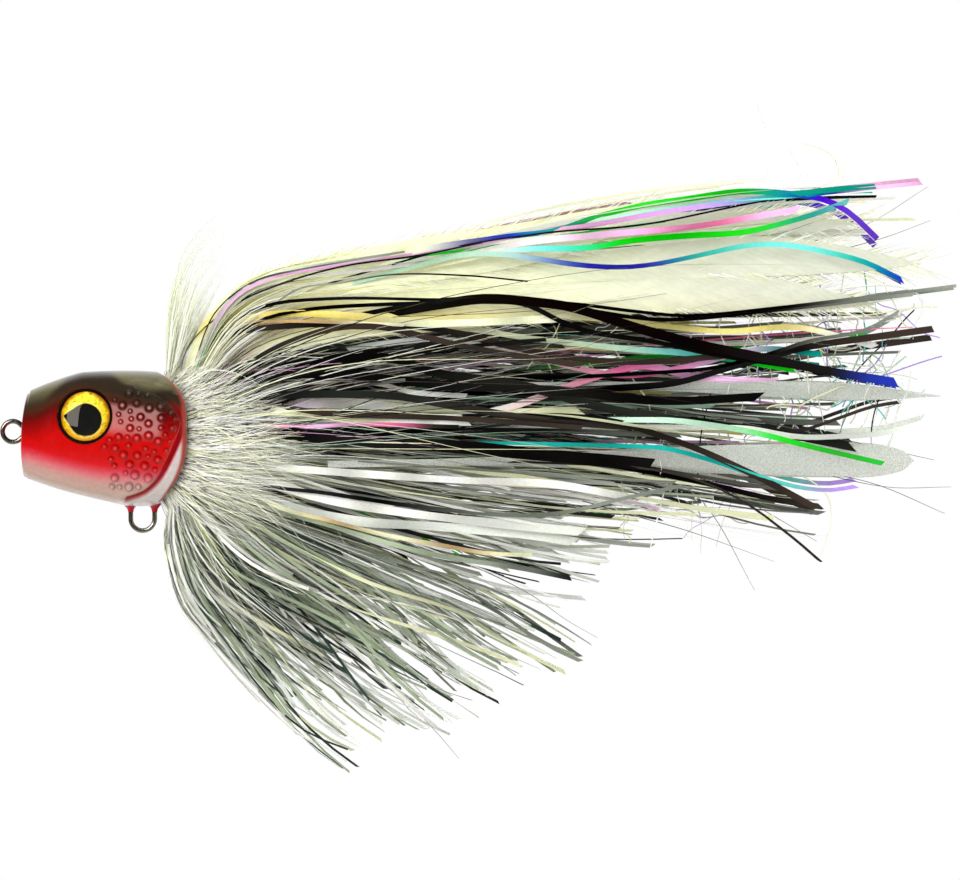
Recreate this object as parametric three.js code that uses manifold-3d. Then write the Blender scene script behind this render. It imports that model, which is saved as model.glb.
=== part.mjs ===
// Topwater popper with a hollow two-piece head, wire hangers, glued eyes and a lashed fibre tail.
// Millimetres, +Z up, nose towards -X, left side towards -Y. The origin is the bearing point of the line tie.
import * as THREE from "three";
import { mergeVertices } from "three/addons/utils/BufferGeometryUtils.js";
import Module from "manifold-3d";

const wasm = await Module();
wasm.setup();

// ---- Driving dimensions ----
const GAP = 0.3; // clearance between pieces that touch on the real object
const WALL = 1.8; // moulded wall of the head
const WIRE_R = 0.62; // hanger wire, from its axis to a flat
const TIE_R = 2.7; // line tie, loop radius at the wire's axis
const NECK = 1; // half the distance between the line tie's legs
const TIE_FEET = 15; // from the line tie's centre to its feet
const HOOK_R = 3.1; // hook hanger, loop radius at the wire's axis
const HOOK_X = 35.8; // hook hanger, place along the body
const HOOK_Z = -25.1; // height of the flat that bears the hook
const HOOK_FEET = 9.2; // from the hook hanger's centre up to its feet
const FOOT = 3.4; // length of a wire's foot
const CUP_DEPTH = 6; // mouth cup, rim to centre
const REAR_FLOOR_X = 38.5; // rear socket floor, where the tail post comes out
const POST_Z = -1.6; // height of the tail post's axis
const EYE = new THREE.Vector3(21.2, 12.2, 3.9); // centre of the right eye's seat
const EYE_R = 6.4; // eye radius
const SOCKET_R = 7.3; // eye socket radius
const EYE_TILT_UP = THREE.MathUtils.degToRad(7);
const EYE_TILT_FORWARD = THREE.MathUtils.degToRad(10);
const BALL_R = 2; // rattle ball radius
const BALL_STEP = 2 * BALL_R + 0.1; // from one ball's centre to the next
const TUBE_R = 3.2; // rattle tube, outer radius
const TUBE_HALF = 9.2; // rattle tube, half length
const RATTLE = new THREE.Vector3(24, 0, -4.4); // centre of the rattle tube
const BALLAST_R = 2.4; // ballast slug radius
const BALLAST_X = [18, 28]; // ends of the ballast slug
const BALLAST_Z = -11.1; // height of the ballast slug's axis
const POST_R = 3.2; // tail post radius
const BUTTS_R = 5.2; // outer radius of the hair butts tied round the post
const WRAP_R = 6.4; // outer radius of the thread wrap over the butts
const TAIL_X0 = 54.5; // where the free tail begins, behind the lashing

// ---- Curves through a few points ----
// A smooth function of x through [x, value] pairs, by cubic Hermite pieces.
function through(points) {
  const slope = points.map((p, i) => {
    const a = points[Math.max(i - 1, 0)];
    const b = points[Math.min(i + 1, points.length - 1)];
    return (b[1] - a[1]) / (b[0] - a[0]);
  });
  return (x) => {
    const last = points.length - 1;
    let i = points.findIndex((p) => p[0] > x) - 1;
    if (x <= points[0][0]) i = 0;
    if (x >= points[last][0]) i = last - 1;
    const [x0, v0] = points[i];
    const [x1, v1] = points[i + 1];
    const h = x1 - x0;
    const t = THREE.MathUtils.clamp((x - x0) / h, 0, 1);
    const a = 2 * t ** 3 - 3 * t ** 2 + 1;
    const b = t ** 3 - 2 * t ** 2 + t;
    const c = t ** 3 - t ** 2;
    return a * v0 + b * h * slope[i] + (1 - a) * v1 + c * h * slope[i + 1];
  };
}

// ---- Head outline, as functions of x ----
const headTop = through([[4, 9.6], [10.6, 12.4], [16.6, 14.5], [21, 15.55], [36, 15.8], [48, 14.6]]);
const headBottom = through([[4, -11.6], [14.6, -15.2], [26.6, -18.2], [33, -19.4], [40, -19.2], [48, -18]]);
const headWidth = through([[4, 10.6], [12, 12.0], [21, 13.8], [32, 15.8], [41, 16.2], [48, 15.8]]);
const headWaist = through([[4, -1], [48, -1.6]]); // height of the widest line
const squareTop = through([[4, 2.1], [12, 2.5], [20, 3.1], [32, 2.7], [48, 2.4]]);
const squareBottom = through([[4, 2.1], [20, 2.2], [48, 2.3]]);
const NOSE_X = 5; // the section that the mouth cup and lip take their outline from
const CHEEK_X = 30; // the section that the rear rim takes its share of height from

// A section of the head at x, shrunk by inset all round. t is the share of the height at the angle.
function headSection(x, angle, inset = 0) {
  const c = Math.cos(angle);
  const s = Math.sin(angle);
  const square = s > 0 ? squareTop(x) : squareBottom(x);
  const waist = headWaist(x);
  const height = (s > 0 ? headTop(x) - waist : waist - headBottom(x)) - inset;
  const width = headWidth(x) - inset;
  const round = (v) => Math.sign(v) * Math.abs(v) ** (2 / square);
  return { y: width * round(c), z: waist + height * round(s), t: round(s) };
}
// The mouth rim leans back at the top.
const noseX = (z) => 4.3 + 0.0083 * (z + 3.5) ** 2;
// The rear edge is curved like a gill cover, and comes forward at the crown and the belly.
const rimX = (t) => 47.45 - (t > 0 ? 7.0 * t ** 5.4 : 7.36 * (-t) ** 2.5);

// ---- Solids ----
function indexed(positions, triangles) {
  const g = new THREE.BufferGeometry();
  g.setAttribute("position", new THREE.Float32BufferAttribute(positions, 3));
  g.setIndex(triangles);
  return g;
}

// A closed skin over rings of points. With loop, the last ring joins the first one, as in a ring with a hole.
function skin(rings, loop = false) {
  const n = rings[0].length;
  const positions = rings.flat(2);
  const triangles = [];
  const count = loop ? rings.length : rings.length - 1;
  for (let i = 0; i < count; i++) {
    const next = (i + 1) % rings.length;
    for (let j = 0; j < n; j++) {
      const a = i * n + j;
      const b = i * n + ((j + 1) % n);
      const c = next * n + j;
      const d = next * n + ((j + 1) % n);
      triangles.push(a, b, c, b, d, c);
    }
  }
  if (!loop) {
    for (const [ring, turned] of [[0, false], [rings.length - 1, true]]) {
      const centre = [0, 1, 2].map((k) => rings[ring].reduce((sum, p) => sum + p[k], 0) / n);
      positions.push(...centre);
      const m = positions.length / 3 - 1;
      for (let j = 0; j < n; j++) {
        const a = ring * n + j;
        const b = ring * n + ((j + 1) % n);
        triangles.push(...(turned ? [m, a, b] : [m, b, a]));
      }
    }
  }
  return indexed(positions, triangles);
}

function solid(geometry) {
  const g = geometry.clone();
  g.deleteAttribute("normal");
  g.deleteAttribute("uv");
  const merged = mergeVertices(g, 1e-4);
  const vertProperties = new Float32Array(merged.attributes.position.array);
  const triVerts = new Uint32Array(merged.index.array);
  return new wasm.Manifold(new wasm.Mesh({ numProp: 3, vertProperties, triVerts }));
}

function geometryOf(manifold) {
  const m = manifold.getMesh();
  const positions = [];
  for (let i = 0; i < m.numVert; i++) {
    const first = i * m.numProp;
    positions.push(...m.vertProperties.subarray(first, first + 3));
  }
  return indexed(positions, Array.from(m.triVerts));
}

// A cylinder along Y with a flat, and not an edge, on the parting plane.
const drum = (r, length, sides) => new THREE.CylinderGeometry(r, r, length, sides).rotateY(Math.PI / sides);
// A cylinder along X from x0 to x1, about the line (y, z).
const barX = (x0, x1, r, y = 0, z = 0, sides = 24) =>
  drum(r, x1 - x0, sides).rotateZ(Math.PI / 2).translate((x0 + x1) / 2, y, z);
// A cylinder along Y from y0 to y1, about the line (x, z).
const barY = (y0, y1, r, x, z, sides = 24) => drum(r, y1 - y0, sides).translate(x, (y0 + y1) / 2, z);

const RING = 40;
const angles = (n) => Array.from({ length: n }, (_, j) => (2 * Math.PI * (j + 0.5)) / n);

// The head as one solid: mouth cup, lip, flanks, rear lip and rear socket.
function headSolid() {
  const flank = (u, inset) =>
    angles(RING).map((a) => {
      const t = headSection(CHEEK_X, a).t;
      const z0 = headSection(NOSE_X, a).z;
      const x0 = noseX(z0);
      const x = x0 + u * (rimX(t) - x0);
      const p = headSection(x, a, inset);
      return [x, p.y, p.z];
    });
  const cup = (share) =>
    angles(RING).map((a) => {
      const p = headSection(NOSE_X, a, 1.4);
      const waist = headWaist(NOSE_X);
      const z = waist + share * (p.z - waist);
      return [noseX(z) + CUP_DEPTH * Math.sqrt(1 - 0.999 * share ** 2), share * p.y, z];
    });
  const socket = (inset, depth) =>
    angles(RING).map((a) => {
      const t = headSection(CHEEK_X, a).t;
      const x = Math.max(REAR_FLOOR_X, rimX(t) - depth);
      const p = headSection(x, a, inset);
      return [x, p.y, p.z];
    });
  const floor = (share) =>
    angles(RING).map((a) => {
      const p = headSection(REAR_FLOOR_X, a, 2.2);
      return [REAR_FLOOR_X, share * p.y, POST_Z + share * (p.z - POST_Z)];
    });
  const cups = [0.3, 0.6, 0.8, 0.92, 1].map(cup);
  const lip = [flank(0.004, 0.55), flank(0.02, 0.08)];
  const shares = [0.07, 0.14, 0.22, 0.3, 0.38, 0.46, 0.54, 0.62, 0.7, 0.78, 0.86, 0.94];
  const flanks = shares.map((u) => flank(u, 0));
  const rear = [flank(0.985, 0.1), flank(1, 0.7), socket(1.5, 1.2), socket(1.8, 9)];
  return solid(skin([...cups, ...lip, ...flanks, ...rear, floor(0.95), floor(0.4)]));
}

// The hollow inside the head, between the cup and the rear socket.
function hollowSolid() {
  const stations = [[12.6, 0.45], [13.6, 0.75], [15.5, 0.95], [20, 1], [26, 1], [31, 1], [36.4, 0.96]];
  return solid(
    skin(
      stations.map(([x, share]) =>
        angles(28).map((a) => {
          const p = headSection(x, a, WALL);
          const waist = headWaist(x);
          return [x, share * p.y, waist + share * (p.z - waist)];
        }),
      ),
    ),
  );
}

// ---- Bent wire ----
class Arc extends THREE.Curve {
  constructor(x, z, r, from, to) {
    super();
    Object.assign(this, { x, z, r, from, to });
  }
  getPoint(t, target = new THREE.Vector3()) {
    const a = this.from + t * (this.to - this.from);
    return target.set(this.x + this.r * Math.cos(a), 0, this.z + this.r * Math.sin(a));
  }
}
const at = (x, z) => new THREE.Vector3(x, 0, z);

// An eight-sided wire along curves in the XZ plane, with flats facing in and out of each bend.
function wire(curves, steps, r = WIRE_R) {
  const path = new THREE.CurvePath();
  curves.forEach((c) => path.add(c));
  const corner = r / Math.cos(Math.PI / 8);
  const section = new THREE.Shape(
    angles(8).map((a) => new THREE.Vector2(corner * Math.cos(a), corner * Math.sin(a))),
  );
  return new THREE.ExtrudeGeometry(section, { steps, extrudePath: path });
}

// Curves through corners [x, z], with each inner corner rounded over a length of bend.
function bent(corners, bend) {
  const points = corners.map(([x, z]) => at(x, z));
  const curves = [];
  let from = points[0];
  for (let i = 1; i < points.length - 1; i++) {
    const toward = (p) => p.clone().sub(points[i]).setLength(bend).add(points[i]);
    const [before, after] = [toward(points[i - 1]), toward(points[i + 1])];
    curves.push(new THREE.LineCurve3(from, before));
    curves.push(new THREE.QuadraticBezierCurve3(before, points[i], after));
    from = after;
  }
  return [...curves, new THREE.LineCurve3(from, points[points.length - 1])];
}

// A wire loop that opens towards +X before it is turned, with a leg at each side of the opening.
// steps is odd, so that one straight step lies across the far end of the loop and bears the load on a flat.
function hanger({ r, open, facing, corners, bend, steps, flat }, extra = 0) {
  const start = [r * Math.cos(open), r * Math.sin(open)];
  const legs = (side) => bent([start, ...corners].map(([x, z]) => [x, side * z]), bend);
  const back = (curve) =>
    curve.isLineCurve3
      ? new THREE.LineCurve3(curve.v2, curve.v1)
      : new THREE.QuadraticBezierCurve3(curve.v2, curve.v1, curve.v0);
  const loop = new Arc(0, 0, r, open, 2 * Math.PI - open);
  const curves = [...legs(1).map(back).reverse(), loop, ...legs(-1)];
  const length = curves.reduce((sum, c) => sum + c.getLength(), 0);
  // From the loop's centre to the flat that bears the load.
  const bearing = (r - WIRE_R) * Math.cos(length / steps / r / 2);
  const g = wire(curves, steps, WIRE_R + extra).translate(bearing, 0, 0);
  return g.rotateY(facing).translate(flat[0], 0, flat[1]);
}

// The line tie closes to a neck in the cup's floor; its feet are bent apart inside the head.
const LINE_TIE = {
  r: TIE_R,
  open: Math.PI / 4,
  facing: 0,
  corners: [[2.8, NECK], [TIE_FEET, NECK], [TIE_FEET, NECK + FOOT]],
  bend: 1,
  steps: 45,
  flat: [0, 0],
};
// The hook hanger is a U below the belly, and its feet are bent apart in the same way.
const HOOK_HANGER = {
  r: HOOK_R,
  open: Math.PI / 2,
  facing: -Math.PI / 2,
  corners: [[HOOK_FEET, HOOK_R], [HOOK_FEET, HOOK_R + FOOT]],
  bend: 1.4,
  steps: 31,
  flat: [HOOK_X, HOOK_Z],
};

// ---- Eyes ----
// Places a piece made about the origin, facing +Z, on one side's eye seat. lift is its height over the seat.
function onSeat(geometry, side, lift) {
  const frame = new THREE.Object3D();
  frame.position.copy(EYE);
  frame.position.y *= side;
  const out = new THREE.Vector3(-Math.sin(EYE_TILT_FORWARD), side, Math.sin(EYE_TILT_UP)).normalize();
  frame.quaternion.setFromUnitVectors(new THREE.Vector3(0, 0, 1), out);
  frame.translateZ(lift);
  frame.updateMatrix();
  return geometry.applyMatrix4(frame.matrix);
}
const disc = (r, height, sides = 32) =>
  new THREE.CylinderGeometry(r, r, height, sides).rotateX(Math.PI / 2).translate(0, 0, height / 2);

const GLUE = 0.1; // gap under the foil, and between the foil and the lens
const FOIL = 0.4; // thickness of the printed foil
const DOME = 2.4; // height of the clear lens
const DOME_STEPS = 5;

// A flat-bottomed cap of a ball, with a rim radius and a height.
function dome(r, height) {
  const ball = (r ** 2 + height ** 2) / (2 * height);
  const open = Math.asin(r / ball);
  const cap = Array.from({ length: DOME_STEPS + 1 }, (_, i) => {
    const a = open * (1 - i / DOME_STEPS);
    return new THREE.Vector2(ball * Math.sin(a), ball * Math.cos(a) - ball + height);
  });
  return new THREE.LatheGeometry([new THREE.Vector2(0, 0), ...cap], 28).rotateX(Math.PI / 2);
}

// ---- Head shells ----
const box = (w, d, h, x, y, z) => new THREE.BoxGeometry(w, d, h).translate(x, y, z);
const KEEL = { width: 2 * (HOOK_R + FOOT) + 3, size: 7, z: -15.3 }; // block round the hook hanger's feet
const RIB = { width: 9.5, thick: 1.4, height: 15, y: 6.6, z: -9.5 }; // holds the rattle tube
const SADDLE = { thick: 1.4, across: 8, height: 6, x: [20.4, 26] }; // holds the ballast slug
const SEAT_WALL = 2.2; // thickness of an eye socket's floor
const SEAT_LIFT = 0.6; // how far the socket floor reaches above the eye seat before the socket is cut
const BOSS_R = 5.6; // boss round the line tie's legs
const PAD_R = 5; // round pad on the belly where the hook hanger comes out
const PAD_HEIGHT = 2.4;
const PAD_Z = -18.9;
const SIDES = [["left", -1], ["right", 1]];

// The two moulded halves of the head, split down the middle, with their pockets and holes.
function headShells() {
  const body = headSolid();
  const seatFloor = (side) => onSeat(disc(SOCKET_R + 1, SEAT_WALL), side, SEAT_LIFT - SEAT_WALL);
  const rib = (side) => box(RIB.width, RIB.thick, RIB.height, RATTLE.x, side * RIB.y, RIB.z);
  const saddle = (x) => box(SADDLE.thick, SADDLE.across, SADDLE.height, x, 0, BALLAST_Z - 2.2);
  const inside = [
    barX(11, TIE_FEET + FOOT + 0.2, BOSS_R, 0, 0, 20),
    box(KEEL.width, KEEL.size, KEEL.size, HOOK_X, 0, KEEL.z),
    ...[1, -1].map(seatFloor),
    ...[1, -1].map(rib),
    ...SADDLE.x.map(saddle),
  ];
  let head = body.subtract(hollowSolid());
  inside.forEach((g) => (head = head.add(solid(g).intersect(body))));
  const pad = drum(PAD_R, PAD_HEIGHT, 24).rotateX(Math.PI / 2).translate(HOOK_X, 0, PAD_Z);
  head = head.add(solid(pad));
  const tubeEnd = TUBE_HALF + GAP;
  const cuts = [
    hanger(LINE_TIE, GAP),
    hanger(HOOK_HANGER, GAP),
    barX(30, REAR_FLOOR_X + 3, POST_R + GAP, 0, POST_Z),
    onSeat(disc(SOCKET_R, 8), 1, 0),
    onSeat(disc(SOCKET_R, 8), -1, 0),
    barY(-tubeEnd, tubeEnd, TUBE_R + GAP, RATTLE.x, RATTLE.z),
    barX(BALLAST_X[0] - 2, BALLAST_X[1] + 1, BALLAST_R + GAP, 0, BALLAST_Z, 20),
  ];
  cuts.forEach((c) => (head = head.subtract(solid(c))));
  return SIDES.map(([, side]) => head.intersect(solid(box(80, 30, 80, 25, side * 15, 0))));
}

// ---- Tail post and lashing ----
function lathe(profile, sides = 28) {
  const points = profile.map(([x, r]) => new THREE.Vector2(r, x));
  return new THREE.LatheGeometry(points, sides).rotateZ(-Math.PI / 2).translate(0, 0, POST_Z);
}
// The post has a wide flange behind the socket floor and a small one that stops the lashing.
const post = () =>
  lathe([
    [33.2, 0],
    [33.2, 6.2],
    [36.0, 6.2],
    [36.0, POST_R],
    [48.6, POST_R],
    [49.2, 4.2],
    [50.2, 4.2],
    [50.6, 3.4],
    [50.6, 0],
  ]);
// A ring round the post from x0 to x1, with bevelled outer edges.
const ringX = (x0, x1, r0, r1, bevel) =>
  lathe([
    [x0, r0],
    [x0, r1 - bevel],
    [x0 + bevel, r1],
    [x1 - bevel, r1],
    [x1, r1 - bevel],
    [x1, r0],
    [x0, r0],
  ]);

// ---- Soft bundles ----
const SQUARE = 0.8; // how square a bundle's sections are; 1 is an oval
const DRAWN = 0.35; // how far the strands' ends draw together
const squared = (v) => Math.sign(v) * Math.abs(v) ** SQUARE;

// A bundle of strands from x0 to x1, between a lower and an upper line, out to side(x) on both sides.
// y is 0 for a bundle across the middle, or -0.5 or 0.5 for one that fills the left or the right half.
function bundle({ x0, x1, upper, lower, side, y = 0, stations = 11, sides = 12 }) {
  const rings = Array.from({ length: stations }, (_, i) => {
    const x = x0 + (x1 - x0) * (i / (stations - 1)) ** 1.25;
    const high = upper(x) - GAP / 2;
    const low = lower(x) + GAP / 2;
    const end = i === stations - 1 ? DRAWN : 1;
    const half = y ? (side(x) - GAP) / 2 : side(x);
    return angles(sides).map((a) => {
      const across = y * side(x) + half * end * squared(Math.cos(a));
      const up = (high + low) / 2 + ((high - low) / 2) * end * squared(Math.sin(a));
      return [x, across, up];
    });
  });
  return skin(rings);
}

// Heights of the lines between the tail's layers, as functions of x.
const pearlTop = through([
  [54, 6.5], [60, 11], [66, 17.5], [75, 27.5], [85, 38],
  [100, 45.5], [120, 50], [160, 58.5], [190, 62], [246, 66],
]);
const hackleTop = through([
  [54, 4.6], [60, 8.2], [66, 13.5], [75, 22], [85, 31],
  [100, 38.5], [140, 45], [190, 50.5], [246, 53],
]);
const blackTop = through([
  [54, 1.6], [60, 3.4], [66, 6], [75, 11.5], [85, 18],
  [100, 25], [140, 25.5], [190, 21], [246, 20],
]);
const silverTop = through([
  [54, -2.9], [60, -4.2], [75, -8], [100, -13],
  [140, -16.5], [190, -17], [246, -13],
]);
const silverBottom = through([
  [54, -8], [60, -11], [66, -16], [75, -21],
  [100, -29.5], [120, -33], [140, -32.5], [170, -28],
]);
// Half the tail's width.
const tailSide = through([
  [54, 4.5], [60, 7], [66, 10], [75, 14], [85, 17],
  [100, 19.5], [120, 20.5], [140, 19.5], [190, 15], [246, 6],
]);

// A soft piece with oval sections, square to a curved spine in the XZ plane.
// halves gives [share of the length, half height in the plane, half width across it].
function swept(points, halves, stations = 10, sides = 12) {
  const spine = new THREE.CatmullRomCurve3(points.map(([x, z]) => at(x, z)));
  const flat = through(halves.map(([s, h]) => [s, h]));
  const wide = through(halves.map(([s, , w]) => [s, w]));
  const rings = Array.from({ length: stations }, (_, i) => {
    const share = i / (stations - 1);
    const p = spine.getPointAt(share);
    const along = spine.getTangentAt(share);
    const normal = new THREE.Vector3(-along.z, 0, along.x);
    return angles(sides).map((a) => {
      const h = flat(share) * Math.sin(a);
      return [p.x + normal.x * h, wide(share) * Math.cos(a), p.z + normal.z * h];
    });
  });
  return skin(rings);
}
const skirtSpine = [[45, -15.5], [46.6, -20.5], [51.5, -32], [64, -46], [84, -59], [117, -75]];
const skirtHalves = [
  [0, 1.2, 4], [0.1, 2.6, 8], [0.25, 8.5, 14],
  [0.5, 14.5, 19], [0.8, 19, 19], [1, 13, 11],
];
const plumeSpine = [[44.8, 13.2], [45.4, 25], [48.4, 40], [56.5, 56]];
const wispSpine = [[166, 61.5], [186, 65.5], [197, 72], [196, 86]];
const wispHalves = [[0, 0.6, 0.8], [0.5, 0.9, 2.5], [1, 0.5, 0.7]];
const plumeHalves = [[0, 0.8, 2.4], [0.35, 2.4, 5], [0.7, 2, 3], [1, 0.7, 0.8]];

// The hair collar is tied on in clumps round the lashing.
const hairTopSpine = [[44.8, 7.2], [48.5, 11], [55.5, 20.5], [66, 32], [78, 38.6]];
const hairBellySpine = [[44.8, -10.2], [48.5, -13.4], [58, -19.6], [67, -24.6], [79, -31]];
// The side clumps' spine is measured out from the post's axis.
const hairSideSpine = [[44.8, 8.6], [48.4, 10.4], [55, 13.8], [65, 18.6], [79, 23]];
const hairTopHalves = [[0, 1.3, 5], [0.15, 2.4, 6.4], [0.4, 5.6, 8.6], [0.7, 7, 12], [1, 3, 14]];
const hairBellyHalves = [[0, 1.3, 5], [0.15, 2, 6.4], [0.4, 4, 9], [0.7, 5.4, 12], [1, 5, 13]];
const hairSideHalves = [[0, 1.3, 4], [0.15, 2, 6], [0.4, 3.4, 8], [0.7, 5, 11], [1, 4.4, 13]];
const toSide = (geometry, side) => geometry.rotateX(-side * (Math.PI / 2)).translate(0, 0, POST_Z);

const BLADE_THICK = 0.6;
const BLADE_OUT = 0.9; // how far a blade lies outside the tail's widest place along it

// A thin leaf-shaped blade beside the tail, from a narrow root at (x0, z0) to a point at (x1, z1).
function blade(x0, x1, z0, z1, width, side) {
  const length = Math.hypot(x1 - x0, z1 - z0);
  const leaf = new THREE.Shape();
  leaf.moveTo(0, -0.12 * width);
  leaf.bezierCurveTo(0.3 * length, -0.3 * width, 0.7 * length, -0.75 * width, length, 0);
  leaf.bezierCurveTo(0.7 * length, 0.75 * width, 0.3 * length, 0.3 * width, 0, 0.12 * width);
  const g = new THREE.ExtrudeGeometry(leaf, { depth: BLADE_THICK, bevelEnabled: false, curveSegments: 10 });
  g.translate(0, 0, -BLADE_THICK / 2).rotateX(Math.PI / 2);
  g.rotateY(-Math.atan2(z1 - z0, x1 - x0));
  const widest = Math.max(...[0, 0.2, 0.4, 0.6, 0.8, 1].map((t) => tailSide(x0 + t * (x1 - x0))));
  return g.translate(x0, side * (widest + BLADE_OUT), z0);
}

// ---- Materials ----
const finish = (color, roughness, metalness = 0) =>
  new THREE.MeshStandardMaterial({ color, roughness, metalness });
const PAINT = finish(0xc8101c, 0.18);
const STEEL = finish(0xb9b9b0, 0.25, 1);
const LEAD = finish(0x6f7276, 0.5, 1);
const CLEAR = finish(0xf4f6ff, 0.05);
const FOIL_GOLD = finish(0xe0b020, 0.3, 0.8);
const BLACK_ABS = finish(0x1a1a1c, 0.4);
const THREAD = finish(0xd8d4c4, 0.8);
const HAIR = finish(0xe9e6d2, 0.75);
const HACKLE = finish(0xe8e9c4, 0.7);
const PEARL = finish(0x9fd8c8, 0.2, 0.3);
const BLACK_FLASH = finish(0x14120f, 0.2, 0.2);
const SILVER_FLASH = finish(0xb9bfb2, 0.25, 0.7);
const GLITTER = finish(0xc2c8c4, 0.35, 0.3);

// ---- Assembly ----
const popper = new THREE.Group();
function add(name, geometry, material) {
  const mesh = new THREE.Mesh(geometry, material);
  mesh.name = name;
  popper.add(mesh);
}

const [leftShell, rightShell] = headShells();
add("head_shell_left", geometryOf(leftShell), PAINT);
add("head_shell_right", geometryOf(rightShell), PAINT);
add("line_tie", hanger(LINE_TIE), STEEL);
add("hook_hanger", hanger(HOOK_HANGER), STEEL);
for (const [name, side] of SIDES) {
  add(`eye_foil_${name}`, onSeat(disc(EYE_R, FOIL), side, GLUE), FOIL_GOLD);
  add(`eye_lens_${name}`, onSeat(dome(EYE_R, DOME), side, FOIL + 2 * GLUE), CLEAR);
}
add("belly_ballast", barX(...BALLAST_X, BALLAST_R, 0, BALLAST_Z, 20), LEAD);

// Rattle: a tube across the head with three balls that roll from wall to wall.
const tube = solid(barY(-TUBE_HALF, TUBE_HALF, TUBE_R, RATTLE.x, RATTLE.z)).subtract(
  solid(barY(-TUBE_HALF - 1, TUBE_HALF + 1, BALL_R + GAP, RATTLE.x, RATTLE.z)),
);
add("rattle_tube", geometryOf(tube), CLEAR);
for (const i of [0, 1, 2]) {
  const ball = new THREE.SphereGeometry(BALL_R, 12, 8);
  add(`rattle_ball_${i + 1}`, ball.translate(RATTLE.x, (i - 1) * BALL_STEP, RATTLE.z), STEEL);
}

add("tail_post", post(), BLACK_ABS);
add("fibre_butts", ringX(39.1, 48.2, POST_R + GAP, BUTTS_R, 0.6), HAIR);
add("thread_wrap", ringX(40.2, 44.6, BUTTS_R + GAP, WRAP_R, 0.4), THREAD);
add("hair_clump_top", swept(hairTopSpine, hairTopHalves), HAIR);
add("hair_clump_belly", swept(hairBellySpine, hairBellyHalves), HAIR);
add("hair_clump_left", toSide(swept(hairSideSpine, hairSideHalves), -1), HAIR);
add("hair_clump_right", toSide(swept(hairSideSpine, hairSideHalves), 1), HAIR);
add("crest_plume", swept(plumeSpine, plumeHalves, 8), HACKLE);

const tail = { x0: TAIL_X0, side: tailSide };
add("pearl_flash", bundle({ ...tail, x1: 238, upper: pearlTop, lower: hackleTop }), PEARL);
for (const [name, side] of SIDES) {
  const y = side / 2;
  add(`hackles_${name}`, bundle({ ...tail, x1: 241, upper: hackleTop, lower: blackTop, y }), HACKLE);
  const black = bundle({ ...tail, x1: 246, upper: blackTop, lower: silverTop, y });
  add(`black_flash_${name}`, black, BLACK_FLASH);
}
add("silver_flash", bundle({ ...tail, x1: 166, upper: silverTop, lower: silverBottom }), SILVER_FLASH);
for (const [name, side] of SIDES) {
  add(`upper_blade_${name}`, blade(118, 241, 13, 9.5, 6, side), GLITTER);
  add(`lower_blade_${name}`, blade(84, 234, -8, -8.5, 9, side), GLITTER);
}
add("belly_skirt", swept(skirtSpine, skirtHalves), SILVER_FLASH);
add("flash_wisp", swept(wispSpine, wispHalves), PEARL);

export default popper;
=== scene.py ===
import math

import bpy
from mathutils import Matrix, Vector
import numpy as np


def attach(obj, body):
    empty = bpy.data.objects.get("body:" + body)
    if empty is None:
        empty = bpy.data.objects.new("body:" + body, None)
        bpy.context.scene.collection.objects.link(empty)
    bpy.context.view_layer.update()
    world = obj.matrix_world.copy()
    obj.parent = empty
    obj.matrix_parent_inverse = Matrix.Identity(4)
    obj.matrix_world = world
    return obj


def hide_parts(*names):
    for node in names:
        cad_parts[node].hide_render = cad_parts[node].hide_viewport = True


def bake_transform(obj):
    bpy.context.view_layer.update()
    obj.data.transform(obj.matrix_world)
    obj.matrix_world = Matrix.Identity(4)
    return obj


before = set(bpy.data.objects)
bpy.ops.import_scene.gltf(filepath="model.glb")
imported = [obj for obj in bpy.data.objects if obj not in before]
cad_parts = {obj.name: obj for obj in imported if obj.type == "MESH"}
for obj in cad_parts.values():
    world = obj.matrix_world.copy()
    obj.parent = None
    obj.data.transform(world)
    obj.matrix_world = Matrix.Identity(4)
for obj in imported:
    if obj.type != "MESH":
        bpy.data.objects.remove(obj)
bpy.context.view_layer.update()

MM = 0.001
FULL_TURN = 2 * math.pi


# ---- Small tools ----
def smooth(low, high, value):
    """A soft step from 0 at low to 1 at high."""
    t = np.clip((value - low) / (high - low), 0.0, 1.0)
    return t * t * (3 - 2 * t)


def through(points):
    """A smooth curve through [x, value] pairs, in cubic Hermite pieces. A value may be a row of numbers."""
    x = np.array([p[0] for p in points], float)
    v = np.array([np.atleast_1d(p[1]) for p in points], float)
    before = np.maximum(np.arange(len(x)) - 1, 0)
    after = np.minimum(np.arange(len(x)) + 1, len(x) - 1)
    slope = (v[after] - v[before]) / (x[after] - x[before])[:, None]

    def curve(at):
        at = np.clip(np.asarray(at, float), x[0], x[-1])
        i = np.clip(np.searchsorted(x, at, side="right") - 1, 0, len(x) - 2)
        h = x[i + 1] - x[i]
        t = ((at - x[i]) / h)[..., None]
        h = h[..., None]
        a = 2 * t**3 - 3 * t**2 + 1
        b = t**3 - 2 * t**2 + t
        c = t**3 - t**2
        out = a * v[i] + b * h * slope[i] + (1 - a) * v[i + 1] + c * h * slope[i + 1]
        return out[..., 0] if v.shape[1] == 1 else out

    return curve


def bell(value, middle, spread):
    """A bump that is 1 at middle and fades out on both sides."""
    return np.exp(-(((value - middle) / spread) ** 2))


def linear(red, green, blue):
    """A colour given as 0 to 255 sRGB, as the linear values that shaders use."""
    c = np.array([red, green, blue]) / 255
    return np.where(c <= 0.04045, c / 12.92, ((c + 0.055) / 1.055) ** 2.4)


def toward(colour, target, share):
    """Colours moved by share of the way to target."""
    return colour + (target - colour) * share[..., None]


def unit(v):
    return v / np.maximum(np.linalg.norm(v, axis=-1, keepdims=True), 1e-9)


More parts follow.
